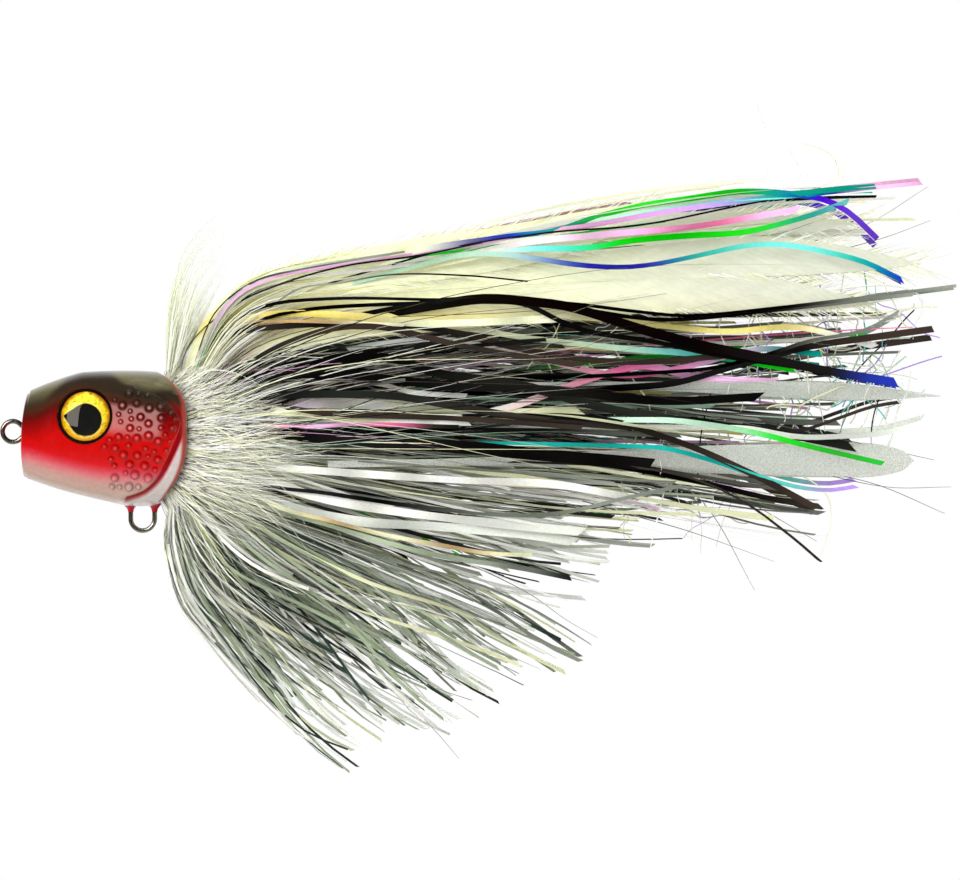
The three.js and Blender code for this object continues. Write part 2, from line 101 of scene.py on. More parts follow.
def build(name, points, faces, tint=None, sharp=math.radians(50), uv=None):
    """A smooth mesh, creased where it turns by more than sharp, from points and arrays of corners."""
    mesh = bpy.data.meshes.new(name)
    corners = np.concatenate([f.reshape(-1) for f in faces]).astype(np.int32)
    sizes = np.concatenate([np.full(len(f), f.shape[1]) for f in faces])
    starts = np.concatenate([[0], np.cumsum(sizes)[:-1]]).astype(np.int32)
    mesh.vertices.add(len(points))
    mesh.vertices.foreach_set("co", (points * MM).astype(np.float32).ravel())
    mesh.loops.add(len(corners))
    mesh.loops.foreach_set("vertex_index", corners)
    mesh.polygons.add(len(sizes))
    mesh.polygons.foreach_set("loop_start", starts)
    mesh.polygons.foreach_set("use_smooth", np.ones(len(sizes), bool))
    mesh.update(calc_edges=True)
    if tint is not None:
        layer = mesh.color_attributes.new("tint", "FLOAT_COLOR", "POINT")
        rgba = np.ones((len(points), 4), np.float32)
        rgba[:, :3] = tint
        layer.data.foreach_set("color", rgba.ravel())
    if uv is not None:
        layer = mesh.uv_layers.new(name="OFBake")
        layer.data.foreach_set("uv", uv[corners].astype(np.float32).ravel())
    mesh.set_sharp_from_angle(angle=sharp)
    made = bpy.data.objects.new(name, mesh)
    bpy.context.scene.collection.objects.link(made)
    return made


def grid_faces(rows, columns, wrap=False):
    """Quads between neighbouring rows of points. wrap joins the last column to the first."""
    i, j = np.meshgrid(np.arange(rows - 1), np.arange(columns if wrap else columns - 1), indexing="ij")
    k = (j + 1) % columns
    here, ahead = i * columns, (i + 1) * columns
    return np.stack([here + j, here + k, ahead + k, ahead + j], axis=-1).reshape(-1, 4)


def closed_tube(rows, sides):
    """The faces of a tube of rows of points: its walls, and a cap at each end."""
    first = np.arange(sides)[None]
    return [grid_faces(rows, sides, wrap=True), first[:, ::-1], (rows - 1) * sides + first]


def flipped(faces):
    """The same faces, turned to look the other way."""
    return [f[:, ::-1] for f in faces]


# ---- Materials ----
def material(name, base, roughness=0.5, metallic=0.0, coat=0.0, coat_roughness=0.05):
    made = bpy.data.materials.new(name)
    made.use_nodes = True
    shader = made.node_tree.nodes["Principled BSDF"]
    shader.inputs["Base Color"].default_value = (*base, 1)
    shader.inputs["Roughness"].default_value = roughness
    shader.inputs["Metallic"].default_value = metallic
    shader.inputs["Coat Weight"].default_value = coat
    shader.inputs["Coat Roughness"].default_value = coat_roughness
    return made


def shader_of(made):
    return made.node_tree.nodes["Principled BSDF"]


def node(made, kind, **settings):
    n = made.node_tree.nodes.new(kind)
    for key, value in settings.items():
        if key in n.inputs:
            n.inputs[key].default_value = value
        else:
            setattr(n, key, value)
    return n


def join(made, source, target):
    made.node_tree.links.new(source, target)


def noise(made, scale, detail=3.0, roughness=0.5):
    """A noise over the object's own place in metres. Returns its value."""
    where = node(made, "ShaderNodeTexCoord")
    n = node(made, "ShaderNodeTexNoise", Scale=scale, Detail=detail, Roughness=roughness)
    join(made, where.outputs["Object"], n.inputs["Vector"])
    return n.outputs["Fac"]


def ramp(made, value, stops):
    """A ramp from value through (place, grey or colour) stops. Returns its colour."""
    n = node(made, "ShaderNodeValToRGB")
    band = n.color_ramp
    while len(band.elements) < len(stops):
        band.elements.new(0.5)
    for element, (place, colour) in zip(band.elements, stops):
        element.position = place
        rgb = colour if hasattr(colour, "__len__") else (colour, colour, colour)
        element.color = (*rgb, 1)
    join(made, value, n.inputs["Fac"])
    return n.outputs["Color"]


def tinted(made, value=None, strength=1.0):
    """The mesh's own tint as base colour, multiplied by value where one is given."""
    tint = node(made, "ShaderNodeAttribute", attribute_name="tint").outputs["Color"]
    if value is None:
        join(made, tint, shader_of(made).inputs["Base Color"])
        return
    mix = node(made, "ShaderNodeMix", data_type="RGBA", blend_type="MULTIPLY")
    mix.inputs[0].default_value = strength
    join(made, tint, mix.inputs[6])
    join(made, value, mix.inputs[7])
    join(made, mix.outputs[2], shader_of(made).inputs["Base Color"])


def bumped(made, value, strength, distance):
    bump = node(made, "ShaderNodeBump", Strength=strength, Distance=distance)
    join(made, value, bump.inputs["Height"])
    join(made, bump.outputs["Normal"], shader_of(made).inputs["Normal"])


def roughened(made, value, low, high):
    spread = node(made, "ShaderNodeMapRange")
    spread.inputs["To Min"].default_value = low
    spread.inputs["To Max"].default_value = high
    join(made, value, spread.inputs["Value"])
    join(made, spread.outputs["Result"], shader_of(made).inputs["Roughness"])


def head_paint():
    made = material("head_paint", linear(200, 10, 10), roughness=0.4, coat=1.0, coat_roughness=0.03)
    shader_of(made).inputs["Specular IOR Level"].default_value = 0.05
    tinted(made, ramp(made, noise(made, scale=900, detail=4), [(0.3, 0.86), (0.7, 1.0)]))
    bumped(made, noise(made, scale=160, detail=2), strength=0.06, distance=0.0004)
    return made


def wire_steel():
    made = material("drawn_wire", linear(206, 203, 194), roughness=0.27, metallic=1.0)
    lines = noise(made, scale=700)
    steel = ramp(made, lines, [(0.3, linear(150, 146, 128)), (0.7, linear(196, 193, 182))])
    join(made, steel, shader_of(made).inputs["Base Color"])
    roughened(made, lines, low=0.14, high=0.3)
    return made


def clear_resin():
    made = material("clear_resin", (1, 1, 1), roughness=0.02)
    shader_of(made).inputs["Transmission Weight"].default_value = 1.0
    shader_of(made).inputs["IOR"].default_value = 1.46
    roughened(made, noise(made, scale=300, detail=2), low=0.01, high=0.04)
    return made


def iris_foil():
    made = material("iris_foil", linear(220, 180, 30), roughness=0.35)
    shader_of(made).inputs["Specular IOR Level"].default_value = 0.03
    speckle = noise(made, scale=1500, detail=5, roughness=0.65)
    tinted(made, ramp(made, speckle, [(0.34, 0.3), (0.46, 0.9), (0.64, 1.0)]))
    return made


def plain(name, base, roughness, metallic=0.0, scale=400, depth=0.0):
    """A solid colour with fine mottling, for pieces inside the head."""
    made = material(name, base, roughness, metallic)
    value = noise(made, scale, detail=4)
    mottled = ramp(made, value, [(0.3, tuple(0.75 * c for c in base)), (0.7, tuple(base))])
    join(made, mottled, shader_of(made).inputs["Base Color"])
    roughened(made, value, low=max(roughness - 0.08, 0.02), high=roughness + 0.1)
    if depth:
        bumped(made, value, strength=0.4, distance=depth)
    return made


def film(name, roughness, metallic, coat=0.0, crinkle=0.3):
    made = material(name, (0.5, 0.5, 0.5), roughness, metallic, coat=coat, coat_roughness=0.08)
    tinted(made, ramp(made, noise(made, scale=1300), [(0.3, 0.88), (0.7, 1.0)]))
    bumped(made, noise(made, scale=500, detail=2), strength=crinkle, distance=0.0004)
    return made


def speckled_film():
    made = material("speckled_film", (0.6, 0.6, 0.6), roughness=0.35, metallic=0.2)
    grains = noise(made, scale=5200, detail=1, roughness=0.3)
    tinted(made, ramp(made, grains, [(0.36, 0.56), (0.47, 0.76), (0.56, 0.88), (0.66, 1.0)]))
    bumped(made, grains, strength=0.5, distance=0.0002)
    return made


def fibre(name, roughness=0.55, sheen=0.3, mottle=0.82):
    made = material(name, (0.8, 0.8, 0.7), roughness)
    shader_of(made).inputs["Sheen Weight"].default_value = sheen
    tinted(made, ramp(made, noise(made, scale=800), [(0.3, mottle), (0.7, 1.0)]))
    return made


# ---- The head's shape ----
head_top = through([[4, 9.6], [10.6, 12.4], [16.6, 14.5], [21, 15.55], [36, 15.8], [48, 14.6]])
head_bottom = through([[4, -11.6], [14.6, -15.2], [26.6, -18.2], [33, -19.4], [40, -19.2], [48, -18]])
head_width = through([[4, 10.6], [12, 12.0], [21, 13.8], [32, 15.8], [41, 16.2], [48, 15.8]])
head_waist = through([[4, -1], [48, -1.6]])
square_top = through([[4, 2.1], [12, 2.5], [20, 3.1], [32, 2.7], [48, 2.4]])
square_bottom = through([[4, 2.1], [20, 2.2], [48, 2.3]])
CUP_DEPTH = 6.0
LIP = 0.7  # radius of the rounded lip round the mouth
HEAD_COLUMNS = 214
MOUTH_X = 5.0  # the section that the mouth and its lip follow
MIDDLE_X = 30.0  # the section that spaces the points round the head
REAR_LIP = 0.75  # radius of the rounded rear edge
WALL = 0.7
REAR_FLOOR_X = 38.5
POST_Z = -1.6
EYE = np.array([21.2, 12.2, 3.9])
EYE_R = 6.4
SOCKET_R = 7.3
EYE_TILT_UP = math.radians(7)
EYE_TILT_FORWARD = math.radians(10)
PAINT_LEVEL = 0.58  # how light the whole paint job is


def section(x, a, inset=0.0):
    """The head's section at x: half width, height, and the share of height at angle a."""
    s = np.sin(a)
    power = np.where(s > 0, square_top(x), square_bottom(x))
    waist = head_waist(x)
    height = np.where(s > 0, head_top(x) - waist, waist - head_bottom(x)) - inset
    t = np.sign(s) * np.abs(s) ** (2 / power)
    return (head_width(x) - inset) * np.abs(np.cos(a)) ** (2 / power), waist + height * t, t


def nose_x(z):
    return 4.3 + 0.0083 * (z + 3.5) ** 2


def rim_x(t):
    """Where the flank ends, which is further forward towards the crown and the belly."""
    return np.where(t > 0, 47.45 - 7.0 * np.abs(t) ** 5.4, 47.45 - 7.36 * np.abs(t) ** 2.5)


def even_angles(count):
    """Angles from belly to crown, evenly spaced along the section's outline, and closer on the cheek."""
    a = np.linspace(-math.pi / 2, math.pi / 2, 4001)
    y, z, _ = section(np.full_like(a, MIDDLE_X), a)
    step = np.hypot(np.diff(y), np.diff(z))
    middle = (z[1:] + z[:-1]) / 2
    weight = 0.55 + 0.45 * smooth(-19, -16, middle) * (1 - smooth(11.5, 15, middle))
    reach = np.concatenate([[0], np.cumsum(step * weight)])
    return np.interp(np.linspace(0, reach[-1], count), reach, a)


def travelled(p):
    """How far each point of a line lies from its start."""
    return np.concatenate([[0], np.cumsum(np.linalg.norm(np.diff(p, axis=0), axis=1))])


def along(points, samples=90):
    """Closely spaced points on a smooth curve through given ones."""
    p = np.array(points, float)
    reach = travelled(p)
    return through([[r, q] for r, q in zip(reach, p)])(np.linspace(0, reach[-1], samples))


def signed_distance(x, z, curve):
    """How far (x, z) lies from a curve, positive on its left as the curve runs."""
    flat = np.stack([x.ravel(), z.ravel()], axis=1)
    best = np.full(len(flat), 1e9)
    side = np.zeros(len(flat))
    for p, q in zip(curve[:-1], curve[1:]):
        d = q - p
        t = np.clip(((flat - p) @ d) / (d @ d), 0, 1)
        off = flat - (p + t[:, None] * d)
        far = np.hypot(off[:, 0], off[:, 1])
        nearer = far < best
        best = np.where(nearer, far, best)
        side = np.where(nearer, np.sign(d[0] * off[:, 1] - d[1] * off[:, 0]), side)
    return (best * side).reshape(x.shape)


GILL = along([[34.6, 11.6], [38.6, 10.4], [42.2, 8.4], [45.0, 5.6], [46.3, 2.8], [46.0, 0.2], [44.6, -3.6],
              [41.9, -9.2], [39.6, -12.8], [36.3, -15.7], [31.8, -17.4]])
BROW = along([[10.4, 3.4], [11.3, 6.4], [13.2, 9.2], [15.5, 11.6], [17.2, 13.6], [19.6, 15.0], [22.3, 15.5],
              [25.4, 15.1], [27.7, 13.8], [29.4, 12.3], [31.4, 11.3], [34.0, 10.6], [38.0, 9.8], [43.0, 9.6]])


def beads():
    """Centres and radii of the raised beads behind the eye, thrown at random with room between them."""
    rng = np.random.default_rng(17)
    throws = 6000
    made = []
    for radius, wanted in ((1.12, 24), (0.74, 46)):
        thrown = np.stack([rng.uniform(25.6, 45.2, throws), rng.uniform(-14.6, 11.2, throws)], axis=1)
        x, z = thrown.T
        clear = np.hypot(x - EYE[0], z - EYE[2]) > SOCKET_R + 0.4 + radius
        clear &= signed_distance(x, z, GILL) < -(1.0 + radius)
        front = (z < -4) & (x < 26.6 + radius)
        high = (z > 8.8) & (x < 31)
        placed = 0
        for p in thrown[clear & ~front & ~high]:
            near = any(math.hypot(*(p - q)) < r + radius + 0.42 for q, r in made)
            if near or placed == wanted:
                continue
            made.append((p, radius * rng.uniform(0.88, 1.08)))
            placed += 1
    return made


BEADS = beads()


def bead_height(x, z):
    high = np.zeros_like(x)
    for (cx, cz), r in BEADS:
        share = ((x - cx) ** 2 + (z - cz) ** 2) / r**2
        high = np.maximum(high, 0.62 * r * np.sqrt(np.clip(1 - share, 0, 1)))
    return high


def bead_share(x, z):
    """How far (x, z) lies from the nearest bead's middle, as a share of its radius."""
    share = np.full_like(x, 9.0)
    for (cx, cz), r in BEADS:
        share = np.minimum(share, np.hypot(x - cx, z - cz) / r)
    return share


def relief(x, z):
    """How far the flank's moulding stands out: square to the plain head, and sideways for the brow."""
    behind = signed_distance(x, z, GILL)
    over = signed_distance(x, z, BROW)  # positive above the brow
    gill = -0.6 * bell(behind, 0, 0.42) + 0.34 * bell(behind, -1.5, 1.3)
    gill = gill + 0.22 * bell(behind, 1.3, 0.9)
    hood = 0.5 * smooth(0.4, -2.6, over) * smooth(-7.5, -2.5, over)
    hood = hood * smooth(9, 13, x) * (1 - smooth(27, 33, x))
    ridge = 0.55 * np.exp(-np.sqrt(over**2 + 0.4) / 1.3)
    ridge = ridge * smooth(9.5, 13, x) * (1 - smooth(38, 43, x))
    cheek = np.exp(-(((x - 39) / 7.5) ** 2) - ((z + 1) / 8.5) ** 2) * smooth(-0.2, -2.0, behind)
    return gill * (1 - smooth(12.5, 14.5, z)) + cheek + bead_height(x, z), hood + ridge


# The lines where the belly's and the crown's colours begin, and the colours by the height from them.
LOW = through([[6, -5.6], [8, -6.2], [14, -8.0], [25, -10.4], [35, -10.9], [44, -11.3]])
HIGH = through([[4, 5.2], [8, 5.6], [13, 8.0], [20, 11], [27, 9.0], [33, 7.6], [39, 6.2], [47, 6.2]])
BELLY_PAINT = through([
    [-6, linear(220, 190, 172)], [-3, linear(224, 168, 156)], [-1.6, linear(238, 136, 138)],
    [0, linear(238, 80, 92)], [1.6, linear(234, 18, 32)], [3.2, linear(226, 6, 4)]])
FLANK_PAINT = through([
    [-9, linear(226, 6, 4)], [-6, linear(190, 4, 3)], [-3.2, linear(140, 2, 1)],
    [-1.6, linear(100, 18, 10)], [0, linear(82, 44, 28)], [1.8, linear(58, 46, 33)]])


def paint(x, z):
    """The airbrushed colours of the flank, from the crown down to the belly, with painted reflection, shade
    and highlights.
    """
    low = LOW(x)
    flank = smooth(0, 1, (z - low - 3) / 2)[..., None]
    colour = BELLY_PAINT(z - low) * (1 - flank) + FLANK_PAINT(z - HIGH(x)) * flank
    over = signed_distance(x, z, BROW)
    # Above the brow the colour turns pale olive: partly the crown's own paint and partly a painted reflection
    # of the light above.
    crown = smooth(0.2, 2.2, over) * smooth(9.5, 14.5, z + 0.25 * np.abs(x - 21))
    colour = toward(colour, linear(124, 117, 84), crown * (1 - smooth(42, 46, x) * 0.5))
    behind = signed_distance(x, z, GILL)
    # A pale pink patch on the upper cheek, between the beads, is a painted reflection of the window light.
    painted_reflection = smooth(-2.4, 1.2, z + 0.14 * (x - 33)) * (1 - smooth(5.6, 7.4, z + 0.12 * (x - 33)))
    painted_reflection = painted_reflection * smooth(24.5, 27.5, x) * (1 - smooth(39.6, 41.6, x))
    share = bead_share(x, z)
    between = smooth(0.95, 1.15, share)
    colour = toward(colour, linear(232, 168, 164), 0.55 * painted_reflection * between)
    # Each bead is darkened towards its rim: painted shade.
    rim = smooth(0.45, 0.8, share) * (1 - smooth(1.0, 1.25, share))
    colour = colour * (1 - 0.45 * rim)[..., None]
    # Each bead's middle is made lighter, most inside the painted reflection: a painted highlight on the bead
    # tops.
    top = (1 - smooth(0.2, 0.5, share)) * (0.12 + 0.6 * painted_reflection)
    colour = toward(colour, linear(250, 196, 186), top)
    lower = 1 - smooth(-5.5, 2.0, z)
    colour = toward(colour, linear(240, 226, 222), smooth(0.5, 1.2, behind) * lower)
    # A red line along the gill crease: partly the paint's own line and partly painted shade in the groove.
    colour = toward(colour, linear(170, 12, 26), bell(behind, 0.15, 0.6) * (1 - smooth(5, 9, z)))
    return colour * PAINT_LEVEL


def flank_rings(a, rear, count=200):
    """The moulded and painted outside of the head, in rings from the front lip back to rear."""
    u = np.linspace(0, 1, count + 2)[1:-1, None]
    start = nose_x(section(np.full_like(a, MOUTH_X), a)[1]) + LIP
    x = start + u * (rear - start)
    y, z, _ = section(x, np.broadcast_to(a, x.shape))
    flank = np.stack([x, y, z], axis=-1)
    normal = unit(np.cross(np.gradient(flank, axis=0), np.gradient(flank, axis=1)))
    outward = np.stack([0 * x, y, z - float(head_waist(MOUTH_X))], axis=-1)
    normal *= np.sign(np.sum(normal * outward, -1, keepdims=True))
    fade = smooth(0, 0.04, u) * smooth(1.0, 0.985, u)
    near_seam = smooth(0.0, 3.0, y)
    proud, sideways = relief(x, z)
    flank = flank + normal * (proud * fade * near_seam)[..., None]
    flank[..., 1] += sideways * fade * near_seam
    # The flat seat of the eye, and the dark ring that shows round the lens.
    out = unit(np.array([-math.sin(EYE_TILT_FORWARD), 1.0, math.sin(EYE_TILT_UP)]))
    from_eye = flank - EYE
    lift = from_eye @ out
    radius = np.linalg.norm(from_eye - lift[..., None] * out, axis=-1)
    sunk = smooth(SOCKET_R + 0.12, SOCKET_R - 0.5, radius) * (y > 5)
    flank = flank - (lift * sunk)[..., None] * out
    ink = smooth(SOCKET_R + 0.25, SOCKET_R - 0.05, radius) * (y > 5)
    colour = toward(paint(x, z), linear(20, 8, 8), ink)
    edge = smooth(0.975, 1.0, u + 0 * x) * (1 - 0.4 * smooth(4, 8, z))
    return flank, toward(colour, linear(150, 60, 50), edge)


def head_shell(name, side):
    """One moulded half of the head, as a thin hollow shell from the mouth cup back to the rear socket."""
    a = even_angles(HEAD_COLUMNS)
    rim = rim_x(section(np.full_like(a, MIDDLE_X), a)[2])
    rings = []
    colours = []

    def ring(x, y, z, colour):
        rings.append(np.stack([x, y, z], axis=-1))
        colours.append(np.zeros((len(a), 3)) + colour)

    waist = float(head_waist(MOUTH_X))
    cup_y, cup_z, _ = section(np.full_like(a, MOUTH_X), a, 2 * LIP)
    # The cup inside the mouth takes the flank's paint 15% darker: painted shade in the hollow.
    for share in np.sin(np.linspace(0.01, math.pi / 2, 22)):
        z = waist + share * (cup_z - waist)
        x = nose_x(z) + LIP + (CUP_DEPTH - LIP) * math.sqrt(max(1 - share**2, 0))
        ring(x, share * cup_y, z, paint(np.full_like(z, 6.0), z) * 0.85)
    for turn in np.linspace(math.pi, 0, 9)[1:]:
        y, z, _ = section(np.full_like(a, MOUTH_X), a, LIP * (1 - math.cos(turn)))
        ring(nose_x(z) + LIP * (1 - math.sin(turn)), y, z, paint(np.full_like(z, 6.0), z))
    for points, colour in zip(*flank_rings(a, rim - REAR_LIP)):
        ring(*points.T, colour)
    for turn in np.linspace(0, math.pi, 9):
        y, z, _ = section(rim, a, REAR_LIP * (1 - math.cos(turn)))
        ring(rim - REAR_LIP + REAR_LIP * math.sin(turn), y, z, linear(140, 60, 50))
    for share in np.linspace(0.1, 1, 8):
        x = np.maximum(REAR_FLOOR_X, rim - REAR_LIP - share * 8.2)
        y, z, _ = section(x, a, 1.5 + 0.3 * share)
        ring(x, y, z, linear(60, 20, 20))
    x = np.full_like(a, REAR_FLOOR_X)
    y, z, _ = section(x, a, 1.9)
    for share in (0.95, 0.7, 0.45, 0.28):
        ring(x, share * y, POST_Z + share * (z - POST_Z), linear(50, 18, 18))

    points = np.array(rings)
    points[..., 1] *= side
    faces = [grid_faces(*points.shape[:2])]
    if side < 0:
        faces = flipped(faces)
    tint = np.array(colours).reshape(-1, 3)
    made = build(name, points.reshape(-1, 3), faces, tint, sharp=math.radians(75))
    wall = made.modifiers.new("wall", "SOLIDIFY")
    wall.thickness = WALL * MM
    wall.offset = -1
    made.data.materials.append(PAINT)
    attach(made, "head")
    return made


# ---- Camera, lights and floor ----
def camera():
    data = bpy.data.cameras.new("camera")
    data.lens = 900
    data.sensor_width = 36
    data.clip_start = 0.05
    made = bpy.data.objects.new("camera", data)
    made.location = (0.1235, -6.24, -0.0022)
    made.rotation_euler = (math.pi / 2, 0, 0)
    bpy.context.scene.collection.objects.link(made)
    bpy.context.scene.camera = made


def softbox(name, place, size, watts, aim=(0.1, 0, 0), tone=(1.0, 1.0, 1.0), mirrored=True, only=None):
    """An area light. It lights every piece, or those in only, and mirrored ones also show in shiny pieces."""
    data = bpy.data.lights.new(name, "AREA")
    data.shape = "RECTANGLE"
    data.size, data.size_y = size
    data.energy = watts
    data.color = tone
    made = bpy.data.objects.new(name, data)
    made.location = place
    made.rotation_euler = (Vector(aim) - Vector(place)).to_track_quat("-Z", "Y").to_euler()
    made.visible_camera = False
    made.visible_glossy = mirrored
    if only:
        lit = bpy.data.collections.new(f"{name}_only")
        for piece in only:
            lit.objects.link(piece)
        made.light_linking.receiver_collection = lit
    bpy.context.scene.collection.objects.link(made)


def studio():
    """Soft boxes in a white sweep that is bright behind, above and below, and darker on the near side."""
    # A light that would show too bright in shiny pieces is split, and only its weaker glint shows there.
    window = {"place": (-0.9, -0.44, 0.2), "size": (0.5, 0.75), "aim": (0.02, 0, 0)}
    softbox("window", watts=4.8, mirrored=False, **window)
    softbox("window_glint", watts=3.2, **window)
    softbox("key", (-0.22, -0.92, 0.4), (0.5, 0.5), 6, aim=(0.05, 0, 0), mirrored=False)
    top = {"place": (0.1, 0.45, 0.95), "size": (1.0, 0.6), "tone": (1.0, 0.97, 0.86)}
    softbox("top", watts=4.6, mirrored=False, **top)
    softbox("top_glint", watts=2.4, **top)
    right = {"place": (1.0, -0.7, 0.2), "size": (0.5, 0.8)}
    softbox("right", watts=4.6, mirrored=False, **right)
    softbox("right_glint", watts=1.4, **right)
    softbox("low", (0.1, -0.6, -0.8), (0.9, 0.4), 4.6, mirrored=False)
    softbox("back", (0.1, 0.9, 0.35), (1.2, 0.6), 8, mirrored=False)
    world = bpy.data.worlds.new("white_studio")
    world.use_nodes = True
    tree = world.node_tree
    background = tree.nodes["Background"]
    background.inputs["Color"].default_value = (1, 1, 1, 1)

    def ranged(value, low, high, to_low, to_high):
        n = tree.nodes.new("ShaderNodeMapRange")
        n.interpolation_type = "SMOOTHSTEP"
        for key, number in (("From Min", low), ("From Max", high), ("To Min", to_low), ("To Max", to_high)):
            n.inputs[key].default_value = number
        tree.links.new(value, n.inputs["Value"])
        return n.outputs["Result"]

    def maths(operation, a, b):
        n = tree.nodes.new("ShaderNodeMath")
        n.operation = operation
        tree.links.new(a, n.inputs[0])
        tree.links.new(b, n.inputs[1])
        return n.outputs["Value"]

    path = tree.nodes.new("ShaderNodeLightPath")
    where = tree.nodes.new("ShaderNodeTexCoord")
    split = tree.nodes.new("ShaderNodeSeparateXYZ")
    tree.links.new(where.outputs["Generated"], split.inputs["Vector"])
    behind = ranged(split.outputs["Y"], 0.3, 0.8, 0.02, 0.9)
    below = ranged(split.outputs["Z"], -1.0, -0.1, 0.45, 0.02)
    mirrored = maths("MAXIMUM", behind, below)
    glossy = maths("MULTIPLY", mirrored, path.outputs["Is Glossy Ray"])
    diffuse = ranged(path.outputs["Is Glossy Ray"], 0.0, 1.0, 0.68, 0.0)
    seen = ranged(path.outputs["Is Camera Ray"], 0.0, 1.0, 0.0, 1.0)
    strength = maths("MAXIMUM", maths("ADD", glossy, diffuse), seen)
    tree.links.new(strength, background.inputs["Strength"])
    bpy.context.scene.world = world
    bpy.context.scene.view_settings.view_transform = "Standard"


def floor():
    x, y, z = 700, 300, -150
    points = np.array([[-x, -y, z], [x, -y, z], [x, y, z], [-x, y, z]], float)
    made = build("floor", points, [np.array([[0, 1, 2, 3]])])
    made.data.materials.append(plain("pale_floor", (0.9, 0.9, 0.9), 0.8))
    made.visible_glossy = False


# ---- Wires and eyes ----
def tube(points, radius, sides=20):
    """A closed round tube along points, as (vertices, faces)."""
    t = unit(np.gradient(points, axis=0))
    across = np.tile([0.0, 1.0, 0.0], (len(points), 1))
    across = unit(across - np.sum(across * t, -1, keepdims=True) * t)
    up = np.cross(t, across)
    a = np.linspace(0, FULL_TURN, sides, endpoint=False)
    ring = radius * (np.cos(a)[None, :, None] * across[:, None] + np.sin(a)[None, :, None] * up[:, None])
    vertices = (points[:, None] + ring).reshape(-1, 3)
    return vertices, closed_tube(len(points), sides)


def rounded(corners, bend, step=0.25):
    """Points along straight lines through corners, with the inner corners rounded."""
    c = [np.array(p, float) for p in corners]
    out = [c[0]]
    for before, corner, after in zip(c[:-2], c[1:-1], c[2:]):
        p = corner + unit(before - corner) * bend
        q = corner + unit(after - corner) * bend
        t = np.linspace(0, 1, 9)[:, None]
        out += list((1 - t) ** 2 * p + 2 * t * (1 - t) * corner + t**2 * q)
    out.append(c[-1])
    p = np.array(out)
    reach = travelled(p)
    even = np.linspace(0, reach[-1], int(reach[-1] / step))
    return np.stack([np.interp(even, reach, p[:, k]) for k in range(p.shape[1])], axis=1)


WIRE_R = 0.64
HOOK_X = 35.8
HOOK_LOOP_R = 3.1


def hanger(name, radius, opening, legs, bend, turn, place):
    """A wire loop whose two legs run into the head and end in feet bent apart."""
    first = rounded([[radius * math.cos(opening), radius * math.sin(opening)], *legs], bend)
    a = np.linspace(opening, FULL_TURN - opening, 60)[1:-1]
    loop = np.stack([radius * np.cos(a), radius * np.sin(a)], axis=1)
    flat = np.concatenate([first[::-1], loop, first * [1, -1]])
    flat[:, 0] += radius - WIRE_R
    c, s = math.cos(turn), math.sin(turn)
    x = flat[:, 0] * c - flat[:, 1] * s + place[0]
    z = flat[:, 0] * s + flat[:, 1] * c + place[1]
    vertices, faces = tube(np.stack([x, 0 * x, z], axis=1), WIRE_R)
    made = build(name, vertices, faces)
    made.data.materials.append(STEEL)
    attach(made, "head")
    return made


def on_seat(points, side):
    """Places points made about the origin, facing +Z with +Y up, on one side's eye seat."""
    out = unit(np.array([-math.sin(EYE_TILT_FORWARD), side, math.sin(EYE_TILT_UP)]))
    up = unit(np.array([0, 0, 1.0]) - out * out[2])
    back = unit(np.array([1.0, 0, 0]) - out * out[0])
    back = unit(back - up * (back @ up))
    seat = EYE * [1, side, 1]
    return seat + points[:, :1] * back + points[:, 1:2] * up + points[:, 2:] * out


def disc_points(radius, rings, sides, height):
    """Rings of points from the centre out, with height as a function of the share of the radius."""
    share = np.linspace(0.004, 1, rings)[:, None]
    a = np.linspace(0, FULL_TURN, sides, endpoint=False)[None]
    x, y = radius * share * np.cos(a), radius * share * np.sin(a)
    return np.stack([x, y, height(share) + 0 * x], axis=-1).reshape(-1, 3)


def iris_colours(x, y):
    """Gold that darkens at the rim, round a black pupil that runs to a point at the front."""
    turn = np.arctan2(y, x)
    rng = np.random.default_rng(5)
    wobble = sum(rng.uniform(0.02, 0.06) * np.cos(k * turn + rng.uniform(0, 6)) for k in (3, 5, 9, 14, 23))
    gold = toward(linear(226, 200, 24), linear(232, 222, 60), smooth(0.5, 5, y))
    gold = toward(gold, linear(170, 96, 8), smooth(5.0, 6.1, np.hypot(x, y) + wobble * 3))
    gold = toward(gold, linear(206, 146, 16), smooth(0, -5, y) * 0.8)
    middle, radius = np.array([0.15, -0.95]), 4.05
    tip = np.array([-5.5, 0.1])
    away = middle - tip
    long = np.linalg.norm(away)
    ahead = ((x - tip[0]) * away[0] + (y - tip[1]) * away[1]) / long
    aside = np.abs((x - tip[0]) * -away[1] + (y - tip[1]) * away[0]) / long
    cone = aside - ahead * radius / math.sqrt(long**2 - radius**2)
    cone = np.where((ahead > 0) & (ahead < long - radius**2 / long), cone, 9)
    outside = np.minimum(np.hypot(x - middle[0], y - middle[1]) - radius, cone)
    gold = toward(gold, linear(236, 222, 110), smooth(0.9, 0.1, outside) * 0.45)
    return toward(gold, linear(3, 3, 3), smooth(0.12, -0.06, outside + wobble * 0.5))


